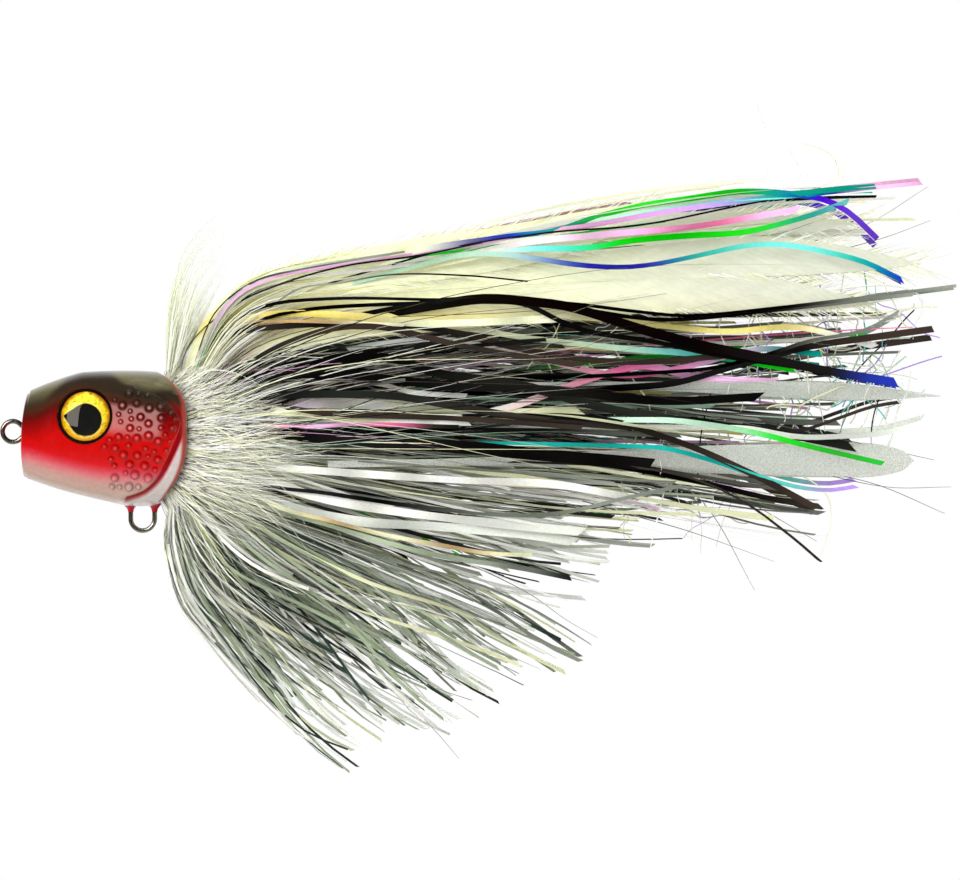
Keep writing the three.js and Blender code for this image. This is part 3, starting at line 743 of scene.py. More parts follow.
def eye(side, word):
    """The printed foil of one side's eye, and the clear dome over it. Returns the dome."""
    rings, sides = 64, 160
    face = disc_points(EYE_R, rings, sides, lambda s: 0.5 - 0.12 * (1 - s**2))
    colour = iris_colours(face[:, 0], face[:, 1])
    edge = face[-sides:].copy()
    edge[:, 2] = 0.12
    points = np.concatenate([face, edge])
    faces = closed_tube(rings + 1, sides)
    if side < 0:
        faces = flipped(faces)
    foil = build(f"iris_{word}", on_seat(points, side), faces, np.concatenate([colour, colour[-sides:]]))
    foil.data.materials.append(FOIL)
    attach(foil, "head")
    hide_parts(f"eye_foil_{word}")

    rings, sides, radius = 36, 96, EYE_R + 0.05
    dome = disc_points(radius, rings, sides, lambda s: 0.62 + 2.4 * np.sqrt(np.clip(1 - s**2.1, 0, 1)))
    under = disc_points(radius, rings, sides, lambda s: 0.26 + 0 * s).reshape(rings, sides, 3)[::-1]
    points = np.concatenate([dome, under.reshape(-1, 3)])
    faces = closed_tube(2 * rings, sides)
    if side < 0:
        faces = flipped(faces)
    lens = build(f"resin_dome_{word}", on_seat(points, side), faces)
    lens.data.materials.append(RESIN)
    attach(lens, "head")
    lens.visible_shadow = False
    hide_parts(f"eye_lens_{word}")
    return lens


# ---- Strands ----
SIDES = ((-1, "left"), (1, "right"))


def strands(name, path, width, thick, facing, turn, tint, sides=4):
    """Closed strands along path (strand, station, xyz). Strips have four sides, and hairs three."""
    n, k, _ = path.shape
    t = unit(np.gradient(path, axis=1))
    across = unit(facing - np.sum(facing * t, -1, keepdims=True) * t)
    up = np.cross(t, across)
    c, s = np.cos(turn)[..., None], np.sin(turn)[..., None]
    side, flat = c * across + s * up, c * up - s * across
    slant = np.zeros((n, k))  # strips are cut at an angle
    if sides == 4:
        corners = [(-1, -1), (1, -1), (1, 1), (-1, 1)]
        slant[:, -1] = 1.3 * np.sin(2.4 * np.arange(n))
    else:
        corners = [(math.cos(a), math.sin(a)) for a in (0, 2.0944, 4.1888)]
    ring = [path + (side + t * slant[..., None]) * (width * a)[..., None] + flat * (thick * b)[..., None]
            for a, b in corners]
    points = np.stack(ring, axis=2)
    start = (np.arange(n) * k * sides)[:, None, None]
    walls, *ends = closed_tube(k, sides)
    faces = [(part[None] + start).reshape(-1, part.shape[1]) for part in (walls, np.concatenate(ends))]
    tints = np.repeat(tint[:, :, None, :], sides, axis=2).reshape(-1, 3)
    return build(name, points.reshape(-1, 3), faces, np.clip(tints, 0, 1), uv=strand_map(n, k, sides))


def strand_map(count, stations, sides):
    """A texture place for every point, with each strand in its own cell of a grid."""
    columns = int(math.ceil(math.sqrt(count * 8)))
    rows = int(math.ceil(count / columns))
    column, row = (part[:, None, None] for part in (np.arange(count) % columns, np.arange(count) // columns))
    u = (column + 0.15 + 0.7 * np.arange(sides)[None, None] / (sides - 1)) / columns
    v = (row + 0.03 + 0.94 * np.linspace(0, 1, stations)[None, :, None]) / rows
    u, v = np.broadcast_arrays(u, v)
    return np.stack([u.reshape(-1), v.reshape(-1)], axis=1)


def guide(*points):
    """A smooth line through (x, z) points, by the share of the way along it."""
    return through([[i / (len(points) - 1), p] for i, p in enumerate(points)])


def flow(rng, count, stations, lower, upper, half, reach, wander, drift=0.3, side=0, edge=0.75):
    """Paths that fan out between two guides, each with its own length, drift and waviness.

    half gives how far the bundle spreads to each side, and edge how much it narrows at its top and bottom.
    """
    place = rng.uniform(0, 1, count)
    later = np.clip(place + rng.normal(0, drift, count), -0.04, 1.04)
    aside = rng.uniform(-1, 1, count)
    if side:
        aside = side * np.abs(aside)
    aside = aside * np.sqrt(1 - edge * (2 * place - 1) ** 2)
    length = reach[0] + (reach[1] - reach[0]) * rng.uniform(0, 1, count) ** 1.3
    s = np.linspace(0, 1, stations)[None] * length[:, None]
    at = place[:, None] + (later - place)[:, None] * smooth(0.15, 1, s)
    xz = lower(s) + at[..., None] * (upper(s) - lower(s))
    y = aside[:, None] * half(s)
    waves = np.zeros((2, count, stations))
    for k in range(2):
        for cycles in (1.0, 2.3):
            phase = rng.uniform(0, FULL_TURN, count)[:, None]
            size = rng.normal(0, wander / cycles, count)[:, None]
            waves[k] += size * (np.sin(FULL_TURN * cycles * s * 0.8 + phase) - np.sin(phase)) * s**1.2
    return np.stack([xz[..., 0], y + waves[0], xz[..., 1] + waves[1]], axis=-1), s


def facing_of(rng, count, spread=1.0):
    """Each strand's own sideways direction, mostly across the side view."""
    v = np.stack([rng.normal(0, 0.1, count), rng.normal(0, spread, count), rng.normal(0, 1, count)], axis=1)
    return unit(v)[:, None, :]


def mixed(rng, count, stations, choices):
    """One colour along each strand, picked from (share, colour) choices with a little variation."""
    shares = np.array([c[0] for c in choices], float)
    colours = np.array([c[1] for c in choices])
    picked = colours[rng.choice(len(choices), count, p=shares / shares.sum())]
    varied = np.clip(picked * rng.uniform(0.8, 1.15, (count, 1)), 0, 1)
    return np.repeat(varied[:, None], stations, axis=1)


def kink(rng, path, at, cycles, size, growth=1.0):
    """Adds an uneven wave to every strand of path, in all three directions."""
    count = len(path)
    for axis in range(3):
        phase = rng.uniform(0, 6.3, (count, 1))
        speed = rng.uniform(*cycles, (count, 1))
        path[..., axis] += rng.uniform(*size, (count, 1)) * growth * np.sin(speed * at + phase)


def spread_along(points, stations):
    """x and z at evenly spread stations of the smooth line through (x, z) points."""
    line = along(points)
    at, given = np.linspace(0, 1, stations), np.linspace(0, 1, len(line))
    return (np.interp(at, given, line[:, k]) for k in range(2))


def finish_strands(made, finish, slot, *nodes, still=False):
    """Gives strands their finish and hides the CAD nodes they stand for. Still ones stay with the head, the
    rest are baked in place.
    """
    made.data.materials.append(finish)
    if still:
        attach(made, "head")
    else:
        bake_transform(made)
    if nodes:
        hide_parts(*nodes)


def strips(name, rng, count, stations, width, choices, twist=1.6, end_colour=None, side=0, **shape):
    """Cut strips of film with square ends, twisting a little as they go."""
    path, s = flow(rng, count, stations, side=side, **shape)
    w = rng.uniform(*width, count)[:, None] / 2 * (0.35 + 0.65 * smooth(0.0, 0.12, s))
    turn = rng.uniform(-0.6, 0.6, count)[:, None] + rng.normal(0, twist, count)[:, None] * s
    phase, cycles = rng.uniform(0, 6.3, count)[:, None], rng.uniform(6, 19, count)[:, None]
    turn = turn + 0.35 * np.sin(cycles * s + phase)
    tint = mixed(rng, count, stations, choices)
    # Brightness that rises and falls along each strip is painted glint, as if from its twists.
    tint = tint * (1 + 0.22 * np.sin(rng.uniform(8, 24, (count, 1)) * s + phase))[..., None]
    # A colour given for the tips is blended in near their ends, as a painted sheen.
    if end_colour is not None:
        share = rng.uniform(0, 1, count)[:, None] * smooth(0.8, 1.0, s / s[:, -1:])
        tint = toward(tint, end_colour, share)
    return strands(name, path, w, np.full_like(w, FILM_THICK), facing_of(rng, count), turn, tint)


def hairs(name, rng, count, stations, width, choices, side=0, drift=0.18, **shape):
    """Round hairs that taper to a point."""
    path, s = flow(rng, count, stations, side=side, drift=drift, **shape)
    w = rng.uniform(*width, count)[:, None] / 2 * (1.03 - (s / s[:, -1:]) ** 2)
    tint = mixed(rng, count, stations, choices)
    return strands(name, path, w, w, facing_of(rng, count, 0.3), 0 * w, tint, sides=3)


def bundle(make, name, seed, finish, slot, node_name=None, both_sides=False, still=False, **shape):
    """Strips or hairs in one piece, or in one for each side, and the CAD node that they stand for."""
    for side, word in (SIDES if both_sides else ((0, ""),)):
        end = f"_{word}" if word else ""
        made = make(name + end, np.random.default_rng(seed + side), side=side, **shape)
        nodes = [node_name + end] if node_name else []
        finish_strands(made, finish, slot, *nodes, still=still)


FILM_THICK = 0.035
RIBBON_THICK = 0.04
BLADE_THICK = 0.06
ROOT_X = 46  # where ribbons and feathers leave the lashing
ROOT_OUT = 2.5  # and how far to the side

WHITE = linear(246, 246, 236)
CREAM = linear(238, 240, 196)
STRAW = linear(240, 222, 130)
TAN = linear(198, 168, 118)
SILVER = linear(222, 226, 216)
SAGE = linear(168, 182, 150)
GREY = linear(128, 134, 122)
BROWN = linear(46, 37, 31)
DARK = linear(30, 32, 27)
PINE = linear(50, 68, 58)
BLACK = linear(7, 6, 5)
PINK = linear(240, 178, 222)
ROSE = linear(232, 110, 160)
LILAC = linear(180, 150, 226)
GREEN = linear(10, 196, 40)
TEAL = linear(16, 160, 150)
AQUA = linear(110, 214, 206)
BLUE = linear(16, 44, 170)
VIOLET = linear(104, 58, 206)
MINT = linear(186, 226, 196)

# How far each part of the tail spreads to each side, by the share of its length.
HALF_LONG = through([[0, 4], [0.1, 8], [0.3, 14], [0.5, 18], [0.75, 17], [1, 12]])
HALF_INNER = through([[0, 3], [0.1, 6], [0.3, 10], [0.5, 14], [0.75, 15], [1, 11]])
HALF_OUTER = through([[0, 4], [0.1, 11], [0.3, 21], [0.5, 25], [0.75, 24], [1, 18]])
HALF_SKIRT = through([[0, 4], [0.2, 10], [0.5, 17], [0.8, 18], [1, 15]])
HALF_CORE = through([[0, 4], [0.2, 11], [0.5, 18.4], [0.8, 19], [1, 15]])
HALF_GUARD = through([[0, 9], [0.2, 17], [0.5, 21], [1, 21]])
HALF_CREST = through([[0, 2.5], [0.4, 5], [1, 3]])


def zone(half, low, high):
    """Where a part of the tail lies: its spread to each side, and its lower and upper lines in (x, z)."""
    return {"half": half, "lower": guide(*low), "upper": guide(*high)}


CROWN = zone(
    HALF_LONG,
    [(46, 1), (54, 12), (66, 22), (85, 27), (110, 30), (150, 33), (190, 36), (236, 38)],
    [(46, 5), (50, 19), (57, 33), (68, 40), (84, 42.5), (110, 47.5), (145, 54.5), (190, 59), (238, 60)])
PEARL = zone(
    HALF_LONG,
    [(46, 3), (52, 17), (60, 31), (72, 37), (100, 41), (140, 44), (180, 48), (215, 51), (238, 50)],
    [(46, 5), (50, 20), (57, 34), (68, 41), (84, 44), (110, 49), (145, 56.5), (190, 63), (238, 64.5)])
MIDDLE = zone(
    HALF_LONG,
    [(46, -3), (58, -5), (78, -6), (105, -7.5), (145, -10), (180, -14), (216, -18)],
    [(46, 3), (54, 13), (68, 22), (96, 27), (135, 27), (180, 25), (238, 27)])
WITHIN = {**MIDDLE, "half": HALF_INNER}
OVER = zone(
    HALF_OUTER,
    [(46, -4), (58, -8), (78, -11), (105, -13), (145, -15), (180, -18), (216, -22)],
    [(46, 3), (54, 14), (68, 24), (96, 30), (135, 33), (180, 36), (238, 38)])
LOWER = zone(
    HALF_LONG,
    [(46, -7), (58, -13), (75, -21), (95, -29), (115, -36), (135, -41), (153, -44)],
    [(46, -2), (60, -3), (80, -4), (105, -6), (135, -9), (165, -12), (190, -14)])
SKIRT = zone(
    HALF_SKIRT,
    [(45, -11), (42.5, -20), (41.5, -31), (45.5, -44), (54.6, -54), (66, -64.6), (79, -76), (95, -87)],
    [(46, -5), (56, -14), (70, -20), (85, -26), (103, -34), (120, -42), (135, -51), (151, -60)])
CORE = zone(
    HALF_CORE,
    [(46, -10), (49, -22), (53, -32), (62, -44), (74, -54), (88, -62), (100, -70), (114, -78)],
    [(46, -8), (53, -17), (62, -25), (74, -33), (88, -42), (104, -50), (116, -58), (130, -66)])
GUARD = zone(
    HALF_GUARD,
    [(48, -10), (56, -18), (66, -28), (76, -38), (84, -46)],
    [(48, 12), (58, 14), (70, 9), (84, 1), (98, -6)])
CREST = zone(
    HALF_CREST,
    [(43, 10), (46, 18), (50, 26), (54, 35), (60, 46)],
    [(42, 12), (42, 20), (42.5, 32), (47, 46), (58, 57)])

# Ribbons that stand out on each side: width, how far out they lie, (x, colour) along them, and (x, z) points.
# Grey at the tips of some black ribbons, and blue at the end of one, are painted sheen and glint.
BLACK_RIBBONS = [
    (0.9, 19, [(60, BLACK), (205, BLACK), (236, GREY)],
     [(52, 22.5), (66, 32), (84, 34.4), (110, 34.2), (144, 33.4), (165, 31), (178, 30), (200, 32),
      (222, 34.6), (247, 37.8)]),
    (1.0, 19, [(60, BLACK), (200, BLACK), (232, GREY)],
     [(56, 22), (70, 30), (100, 33), (140, 33), (170, 29), (196, 31), (236, 35.6)]),
    (1.6, 18, [(60, BROWN), (90, BLACK), (160, BROWN)],
     [(52, 22), (59, 25.5), (69, 27), (83, 27.8), (92, 27.1), (104, 27.4), (118, 25.5), (136, 21),
      (160, 18), (192, 20)]),
    (1.6, 20, [(60, DARK), (90, BROWN)],
     [(58, 12), (62, 16), (69, 20.8), (78, 24.6), (87, 26.9), (98, 27), (120, 22), (150, 17)]),
    (1.3, 20, [(100, BLACK)],
     [(110, 33.6), (134, 33.2), (145, 28.3), (152, 25.8), (169, 23.2), (184, 20), (204, 17)]),
    (2.6, 21, [(100, BLACK), (215, BLACK), (231, BLUE)],
     [(120, 34), (142, 33.1), (150, 31.4), (165, 26.6), (181, 22.3), (193, 19.9), (212, 16),
      (231.4, 12.7)]),
    (2.3, 19, [(60, BLACK)],
     [(58, 6), (63, 10.6), (73, 14.3), (87, 14.8), (101, 13.4), (118, 11.6), (140, 11), (170, 8),
      (196, 9)]),
    (2.0, 20, [(60, BLACK), (100, DARK), (150, BROWN)],
     [(60, 8), (69, 9.2), (83, 9.7), (101, 9.2), (118, 6.4), (139, 3.1), (162, 1.3)]),
    (1.5, 20, [(70, BROWN)], [(62, 6), (70, 6.6), (83, 4.8), (100, 4), (118, 3.4), (150, 1)]),
    (3.4, 20, [(70, BLACK), (165, BLACK)],
     [(58, -1), (66, 0.4), (78, -1), (92, -2.4), (118, -4), (139, -6), (168, -8.6)]),
    (2.4, 18, [(100, BLACK), (150, DARK)],
     [(84, 18), (100, 19), (113, 15), (134, 12), (156, 6.1), (181, 2.2), (205, -1), (220, -3.9)]),
    (1.7, 21, [(150, BLACK), (190, BROWN)],
     [(140, 4), (158, 2.6), (170, -1), (181, -5), (196, -12), (211, -20)]),
    (1.0, 19, [(190, BLACK), (212, BROWN)],
     [(178, 3.3), (192, 1), (206, 0.2), (216, 3.3), (225, 6.4), (232, 7.6)]),
    (1.8, 17, [(200, BLACK), (224, BROWN)], [(170, 12), (190, 17), (209, 22), (225, 24.4), (241, 26.6)]),
    (1.0, 18, [(200, BLACK), (224, GREY)], [(180, 16), (198, 20), (209, 23.5), (223, 26.2), (232, 31)]),
    (1.4, 16, [(190, BLACK), (210, BROWN)],
     [(150, -8), (180, -13), (197, -17), (209, -19), (212, -19.4)]),
    (0.6, 20, [(180, BROWN)], [(160, -9), (178, -12), (191.5, -18), (204, -27), (212, -33.8)]),
    (0.5, 21, [(60, DARK), (100, GREY)],
     [(53, 28), (58, 34.4), (66, 39.4), (77, 42), (90, 44.2), (104, 46.6)]),
    (0.5, 21, [(60, DARK), (110, BLACK)],
     [(47, 20.8), (59, 32.4), (72, 38.3), (88, 42.8), (108, 45.7), (124, 49)]),
    (0.45, 21, [(80, GREY), (110, DARK)],
     [(75, 36.3), (88, 38.6), (101, 40.7), (120, 40.4), (136, 38.9)]),
    (0.5, 20, [(140, BLACK)], [(110, 46), (140, 51.4), (165, 53.5), (190, 58.4), (200, 60.4)]),
]
PEARL_RIBBONS = [
    (1.6, 20, [(100, CREAM), (128, BLUE), (143, TEAL), (155, GREEN), (192, GREEN), (200, TEAL),
               (208, BLUE), (222, VIOLET)],
     [(100, 45), (129, 50.3), (143, 52.1), (152, 55.1), (165, 58.5), (178, 60.4), (191, 62.2),
      (205, 61.5), (214, 59.7), (220, 56.1), (226.5, 49.9)]),
    (1.6, 20, [(120, CREAM), (140, AQUA), (158, GREEN), (198, GREEN), (210, TEAL), (219, AQUA)],
     [(127, 46.4), (152, 47.7), (163, 49.5), (178, 50.8), (192, 51.7), (205, 54.8), (212, 57),
      (219, 59.7)]),
    (1.4, 20, [(120, MINT), (150, BLUE), (168, BLUE), (180, TEAL), (205, AQUA), (222, TEAL), (233, BLUE)],
     [(115, 45), (128, 46), (149, 43.2), (160, 42.6), (169, 43.4), (180, 45.6), (192, 48.1),
      (201, 48.5), (210, 47.2), (223, 44), (233, 39.2)]),
    (1.7, 20, [(120, WHITE), (160, PINK), (185, ROSE), (200, PINK)],
     [(130, 48), (155, 51), (178, 53), (196, 55.9), (206, 57.6)]),
    (1.5, 20, [(120, WHITE), (150, PINK), (185, LILAC), (200, TEAL)],
     [(130, 50), (152, 53.4), (172, 57), (196, 60.4), (214, 62.6), (226, 63.6)]),
    (1.0, 20, [(150, MINT), (200, AQUA), (215, BLUE), (224, PINK), (238, PINK)],
     [(150, 54), (184, 59.5), (205, 61), (227, 63.3), (238, 64.4)]),
    (1.8, 15, [(60, PINK), (80, WHITE), (90, PINK), (118, WHITE), (160, ROSE), (176, PINK)],
     [(58, 3), (66, 4.4), (78, 2.3), (92, 2.7), (108, 2.6), (130, 6), (150, 13), (166, 17), (180, 14),
      (200, 13)]),
    (3.0, 15, [(60, ROSE), (72, PINK), (86, WHITE), (120, CREAM)],
     [(56, 6), (64, 8.4), (73, 7.8), (87, 7.3), (106, 6.6), (122, 4.6), (150, 5)]),
    (1.3, 15, [(60, CREAM), (110, WHITE)],
     [(60, 10), (70, 11.6), (83, 13), (97, 12.4), (106, 10.2), (120, 9.2)]),
    (1.5, 22, [(185, MINT), (200, GREEN), (227, GREEN)],
     [(170, 3), (185, 1.4), (197, -0.8), (209, -3.9), (228, -8.3)]),
    (1.2, 21, [(180, TEAL), (192, TEAL), (205, AQUA), (214, LILAC)],
     [(168, -4), (182, -7), (192, -10.4), (205, -14.2), (214, -15.2), (221, -14.2)]),
    (1.4, 20, [(200, SILVER)], [(190, 1), (206, -1.4), (218, -1.2), (228, -0.4), (239, 2.4)]),
    (1.6, 15, [(120, CREAM), (160, MINT), (176, AQUA), (196, GREEN)],
     [(110, 27), (138, 24), (160, 21.6), (180, 20), (205, 16)]),
    (1.5, 15, [(120, WHITE), (165, ROSE), (185, PINK), (205, TEAL)],
     [(110, 24), (134, 20), (160, 14.6), (178, 17), (196, 21.4), (212, 20)]),
    (1.5, 15, [(120, CREAM), (200, STRAW), (222, WHITE)],
     [(110, 30), (150, 29.6), (186, 26), (206, 27), (226, 22)]),
    (2.0, 18.5, [(50, CREAM), (64, STRAW), (92, STRAW), (108, CREAM)],
     [(50, 20.8), (58, 27.2), (69, 30.3), (88, 30.2), (101, 28.6), (114, 28), (144, 29.3)]),
    (0.9, 19, [(56, CREAM), (66, TAN), (84, TAN), (96, CREAM)],
     [(54, 25), (62, 28), (74, 28.6), (90, 28.2), (104, 27.6)]),
    (1.1, 20, [(66, ROSE), (84, PINK), (98, ROSE), (112, BROWN)],
     [(64, 1.8), (78, 1.2), (92, 1.9), (118, 1.2)]),
    (3.0, 19, [(60, CREAM), (90, CREAM), (110, WHITE)],
     [(58, 4), (70, 5), (86, 3.8), (104, 3.2), (120, 3)]),
]
SILVER_RIBBONS = [
    (1.1, 19, [(72, CREAM), (86, TAN), (100, CREAM), (116, TAN), (136, CREAM)],
     [(70, -19), (84, -23), (101, -27.2), (114, -29.6), (126, -31.6), (137, -32)]),
    (2.4, 20, [(60, WHITE), (100, WHITE), (150, SILVER)],
     [(56, -9), (68, -13), (84, -17.6), (104, -21), (126, -23.6), (150, -26)]),
    (2.0, 19, [(60, SILVER), (120, WHITE)],
     [(56, -7), (68, -9), (88, -10.6), (118, -12.6), (142, -13.6), (162, -17)]),
    (2.6, 18, [(100, SILVER), (150, SILVER)],
     [(70, -18), (90, -23), (112, -24.6), (134, -26.4), (148, -28.6)]),
    (1.1, 21, [(100, BLACK), (150, GREY)],
     [(64, -13), (84, -16), (112, -20), (140, -21.6), (164, -16.6), (176, -14)]),
    (1.3, 20, [(100, SAGE), (130, GREY), (147, DARK)], [(90, -26), (112, -32), (134, -35.4), (147, -38)]),
]


def ribbons(slot, finish, rows):
    """The ribbons of one finish, laid on both sides, and each running from the lashing."""
    stations = 56
    rng = np.random.default_rng(len(rows))
    for side, word in SIDES:
        made = []
        for width, depth, colours, points in rows:
            first = np.array(points[0], float)
            root = [(ROOT_X, 0.25 * first[1])]
            if first[0] > 70:
                root.append((58, 0.6 * first[1]))
            x, z = spread_along(root + points, stations)
            shown = smooth(ROOT_X, max(first[0] + 12, 80), x)
            y = side * (ROOT_OUT + (depth - ROOT_OUT) * shown * (1 - 0.1 * smooth(150, 240, x)))
            jitter = 0 if side < 0 else rng.normal(0, 1.2)
            path = np.stack([x, y, z + jitter * smooth(60, 200, x)], axis=1)
            w = width / 2 * (0.4 + 0.6 * smooth(ROOT_X, 60, x))
            tint = through([[a, c] for a, c in [(40, colours[0][1]), *colours, (260, colours[-1][1])]])(x)
            made.append((path, w, np.clip(tint, 0, 1)))
        path, w, tint = (np.stack([m[i] for m in made]) for i in range(3))
        turn = 0.5 * np.sin(np.linspace(0, 9, stations)[None] + rng.uniform(0, 6, len(made))[:, None])
        shine = np.sin(np.linspace(0, 1, stations)[None] * rng.uniform(14, 40, (len(made), 1)) + 3 * turn)
        tint = np.clip(tint * (1 + 0.25 * shine)[..., None], 0, 1)
        facing = np.tile([[[0.0, 0.1 * side, 1.0]]], (len(made), 1, 1))
        piece = strands(f"{slot}_ribbons_{word}", path, w, np.full_like(w, RIBBON_THICK), facing, turn, tint)
        finish_strands(piece, finish, slot)


def black_flash():
    # The black strips turn grey towards their tips: a painted sheen.
    bundle(strips, "black_film", 20, BLACK_FILM, "black_flash", "black_flash", both_sides=True, **MIDDLE,
           count=80, stations=28, reach=(0.5, 1.0), wander=3.4, drift=0.42, width=(0.5, 1.7), end_colour=GREY,
           choices=[(8, BLACK), (2, DARK), (2.6, BROWN), (0.5, BLUE), (0.4, PINE)])
    ribbons("black_flash", BLACK_FILM, BLACK_RIBBONS)


def pearl_flash():
    bundle(strips, "pearl_film", 33, PEARL_FILM, "pearl_flash", "pearl_flash", **PEARL,
           count=46, stations=30, reach=(0.72, 1.0), wander=2.0, drift=0.25, width=(0.5, 1.5),
           choices=[(6, WHITE), (5, CREAM), (0.5, PINK), (1, MINT), (0.6, STRAW), (0.6, AQUA), (0.4, GREEN),
                    (0.4, BLUE), (1.5, BLACK)])
    ribbons("pearl_flash", PEARL_FILM, PEARL_RIBBONS)
    # Clear and tinted film that shows between the black strips.
    bundle(strips, "clear_film", 36, PEARL_FILM, "pearl_flash", both_sides=True, **WITHIN,
           count=64, stations=28, reach=(0.6, 1.0), wander=3.2, drift=0.35, width=(0.4, 1.7),
           choices=[(5, WHITE), (5, CREAM), (3, SILVER), (1.6, PINK), (1, MINT), (0.7, STRAW), (0.5, ROSE),
                    (0.5, GREEN), (0.4, TEAL)])


def fine_flash():
    """Thin clear and dark strands that cross over the black layer."""
    bundle(hairs, "fine_flash", 46, PEARL_FILM, "pearl_flash", both_sides=True, **OVER,
           count=360, stations=26, reach=(0.35, 1.0), wander=4.5, drift=0.5, width=(0.16, 0.42),
           choices=[(5, WHITE), (3, CREAM), (2, GREY), (3, BLACK), (1.5, BROWN), (0.7, MINT), (0.7, PINK)])


def silver_flash():
    bundle(strips, "silver_film", 41, SILVER_FILM, "silver_flash", "silver_flash", **LOWER,
           count=280, stations=20, reach=(0.5, 1.0), wander=2.4, edge=0.5, width=(0.35, 1.2),
           choices=[(5, SILVER), (5, WHITE), (2.4, CREAM), (2.4, SAGE), (1.4, GREY), (2.2, BLACK),
                    (0.2, GREEN)])
    ribbons("silver_flash", SILVER_FILM, SILVER_RIBBONS)


def belly_skirt():
    bundle(strips, "skirt_film", 52, SILVER_FILM, "silver_flash", "belly_skirt", still=True, **SKIRT,
           count=600, stations=18, reach=(0.46, 1.0), wander=2.8, drift=0.24, width=(0.3, 1.05),
           choices=[(6, SILVER), (6, WHITE), (1.6, CREAM), (5, SAGE), (3, GREY), (2.2, PINE), (0.7, DARK),
                    (0.3, BLACK), (0.15, GREEN)])
    bundle(strips, "skirt_core", 54, SILVER_FILM, "silver_flash", still=True, **CORE,
           count=40, stations=18, reach=(0.3, 0.86), wander=2.6, drift=0.3, width=(0.5, 1.3),
           choices=[(5, PINE), (4, GREY), (2, DARK), (2, SAGE), (0.5, BLACK)])
    bundle(hairs, "skirt_hairs", 53, HAIR_FIBRE, "bucktail", still=True, **SKIRT,
           count=420, stations=14, reach=(0.2, 0.85), wander=2.4, drift=0.2, width=(0.16, 0.34),
           choices=[(8, WHITE), (4, CREAM), (1, BLACK)])


# Feathers: half width, how far out they lie, and the spine in (x, z).
FEATHERS = [
    (5.6, 12.5, [(46, 4), (58, 20), (75, 31), (105, 37), (145, 42), (190, 45.5), (238, 43.6)]),
    (4.8, 9.0, [(46, 5), (54, 22), (68, 35), (100, 41.5), (140, 48), (185, 53), (222, 54)]),
    (5.4, 15.0, [(46, 3), (60, 17), (80, 27.5), (110, 31), (150, 35), (190, 36), (226, 33)]),
    (4.6, 6.0, [(46, 5), (53, 22), (64, 35), (96, 43.5), (130, 49), (165, 55), (196, 58)]),
    (4.4, 13.0, [(46, 5), (51, 19), (58, 29.5), (70, 36.6), (92, 40.2), (125, 45.6), (158, 51)]),
    (4.6, 14.0, [(46, 4), (54, 17), (65, 28), (84, 33.4), (112, 36.6), (150, 39)]),
]
VANE_THICK = 0.1
BARBS = 300
BARB_STATIONS = 6


def vane_frame(p, side):
    """The directions along a feather's spine, across its vane and out of its face."""
    t = unit(np.gradient(p, axis=0))
    up = unit(np.cross(t, [0.0, side, 0.25])) * side
    up = np.where(up[:, 2:] < 0, -up, up)
    out = np.cross(up, t)
    return t, up, out * np.sign(out[:, 1:2] * side)


def vane_colour(x, z, w, v, s, grain):
    """Cream streaked by its barbs, golden along the middle of the tail, and darker towards the tips."""
    barb = s[:, None] * 190 - np.abs(v) * w[:, None] * 2.2
    streak = 0.92 + 0.14 * grain[(barb * 0.9).astype(int) % len(grain)]
    height = z[:, None] + w[:, None] * v
    shade = toward(CREAM, linear(236, 238, 216), smooth(90, 220, x)[:, None])
    gold = 0.85 * bell(height, 29.5, 3.6) * (1 - 0.7 * smooth(95, 150, x)[:, None])
    shade = toward(shade, STRAW, gold)
    return shade * streak[..., None] * (1.0 - 0.3 * smooth(125, 190, x))[:, None, None]


def vane_barbs(rng, p, t, up, out, w):
    """Loose barbs that leave both edges of a vane."""
    grow = np.sort(rng.uniform(0.22, 1.0, BARBS))
    i = (grow * (len(p) - 1)).astype(int)
    hand = rng.choice([-1.0, 1.0], BARBS)
    root = p[i] + up[i] * (0.75 * w[i] * hand)[:, None]
    angle = np.radians(rng.uniform(14, 30, BARBS)) * hand
    way = t[i] * np.cos(angle)[:, None] + up[i] * np.sin(angle)[:, None]
    long = rng.uniform(4, 9, BARBS) * (0.7 + 0.6 * grow)
    k = np.linspace(0, 1, BARB_STATIONS)
    bend = out[i] * rng.normal(0, 0.8, BARBS)[:, None]
    straight = root[:, None] + way[:, None] * (long[:, None] * k)[..., None]
    return straight + bend[:, None] * (k**2)[None, :, None]


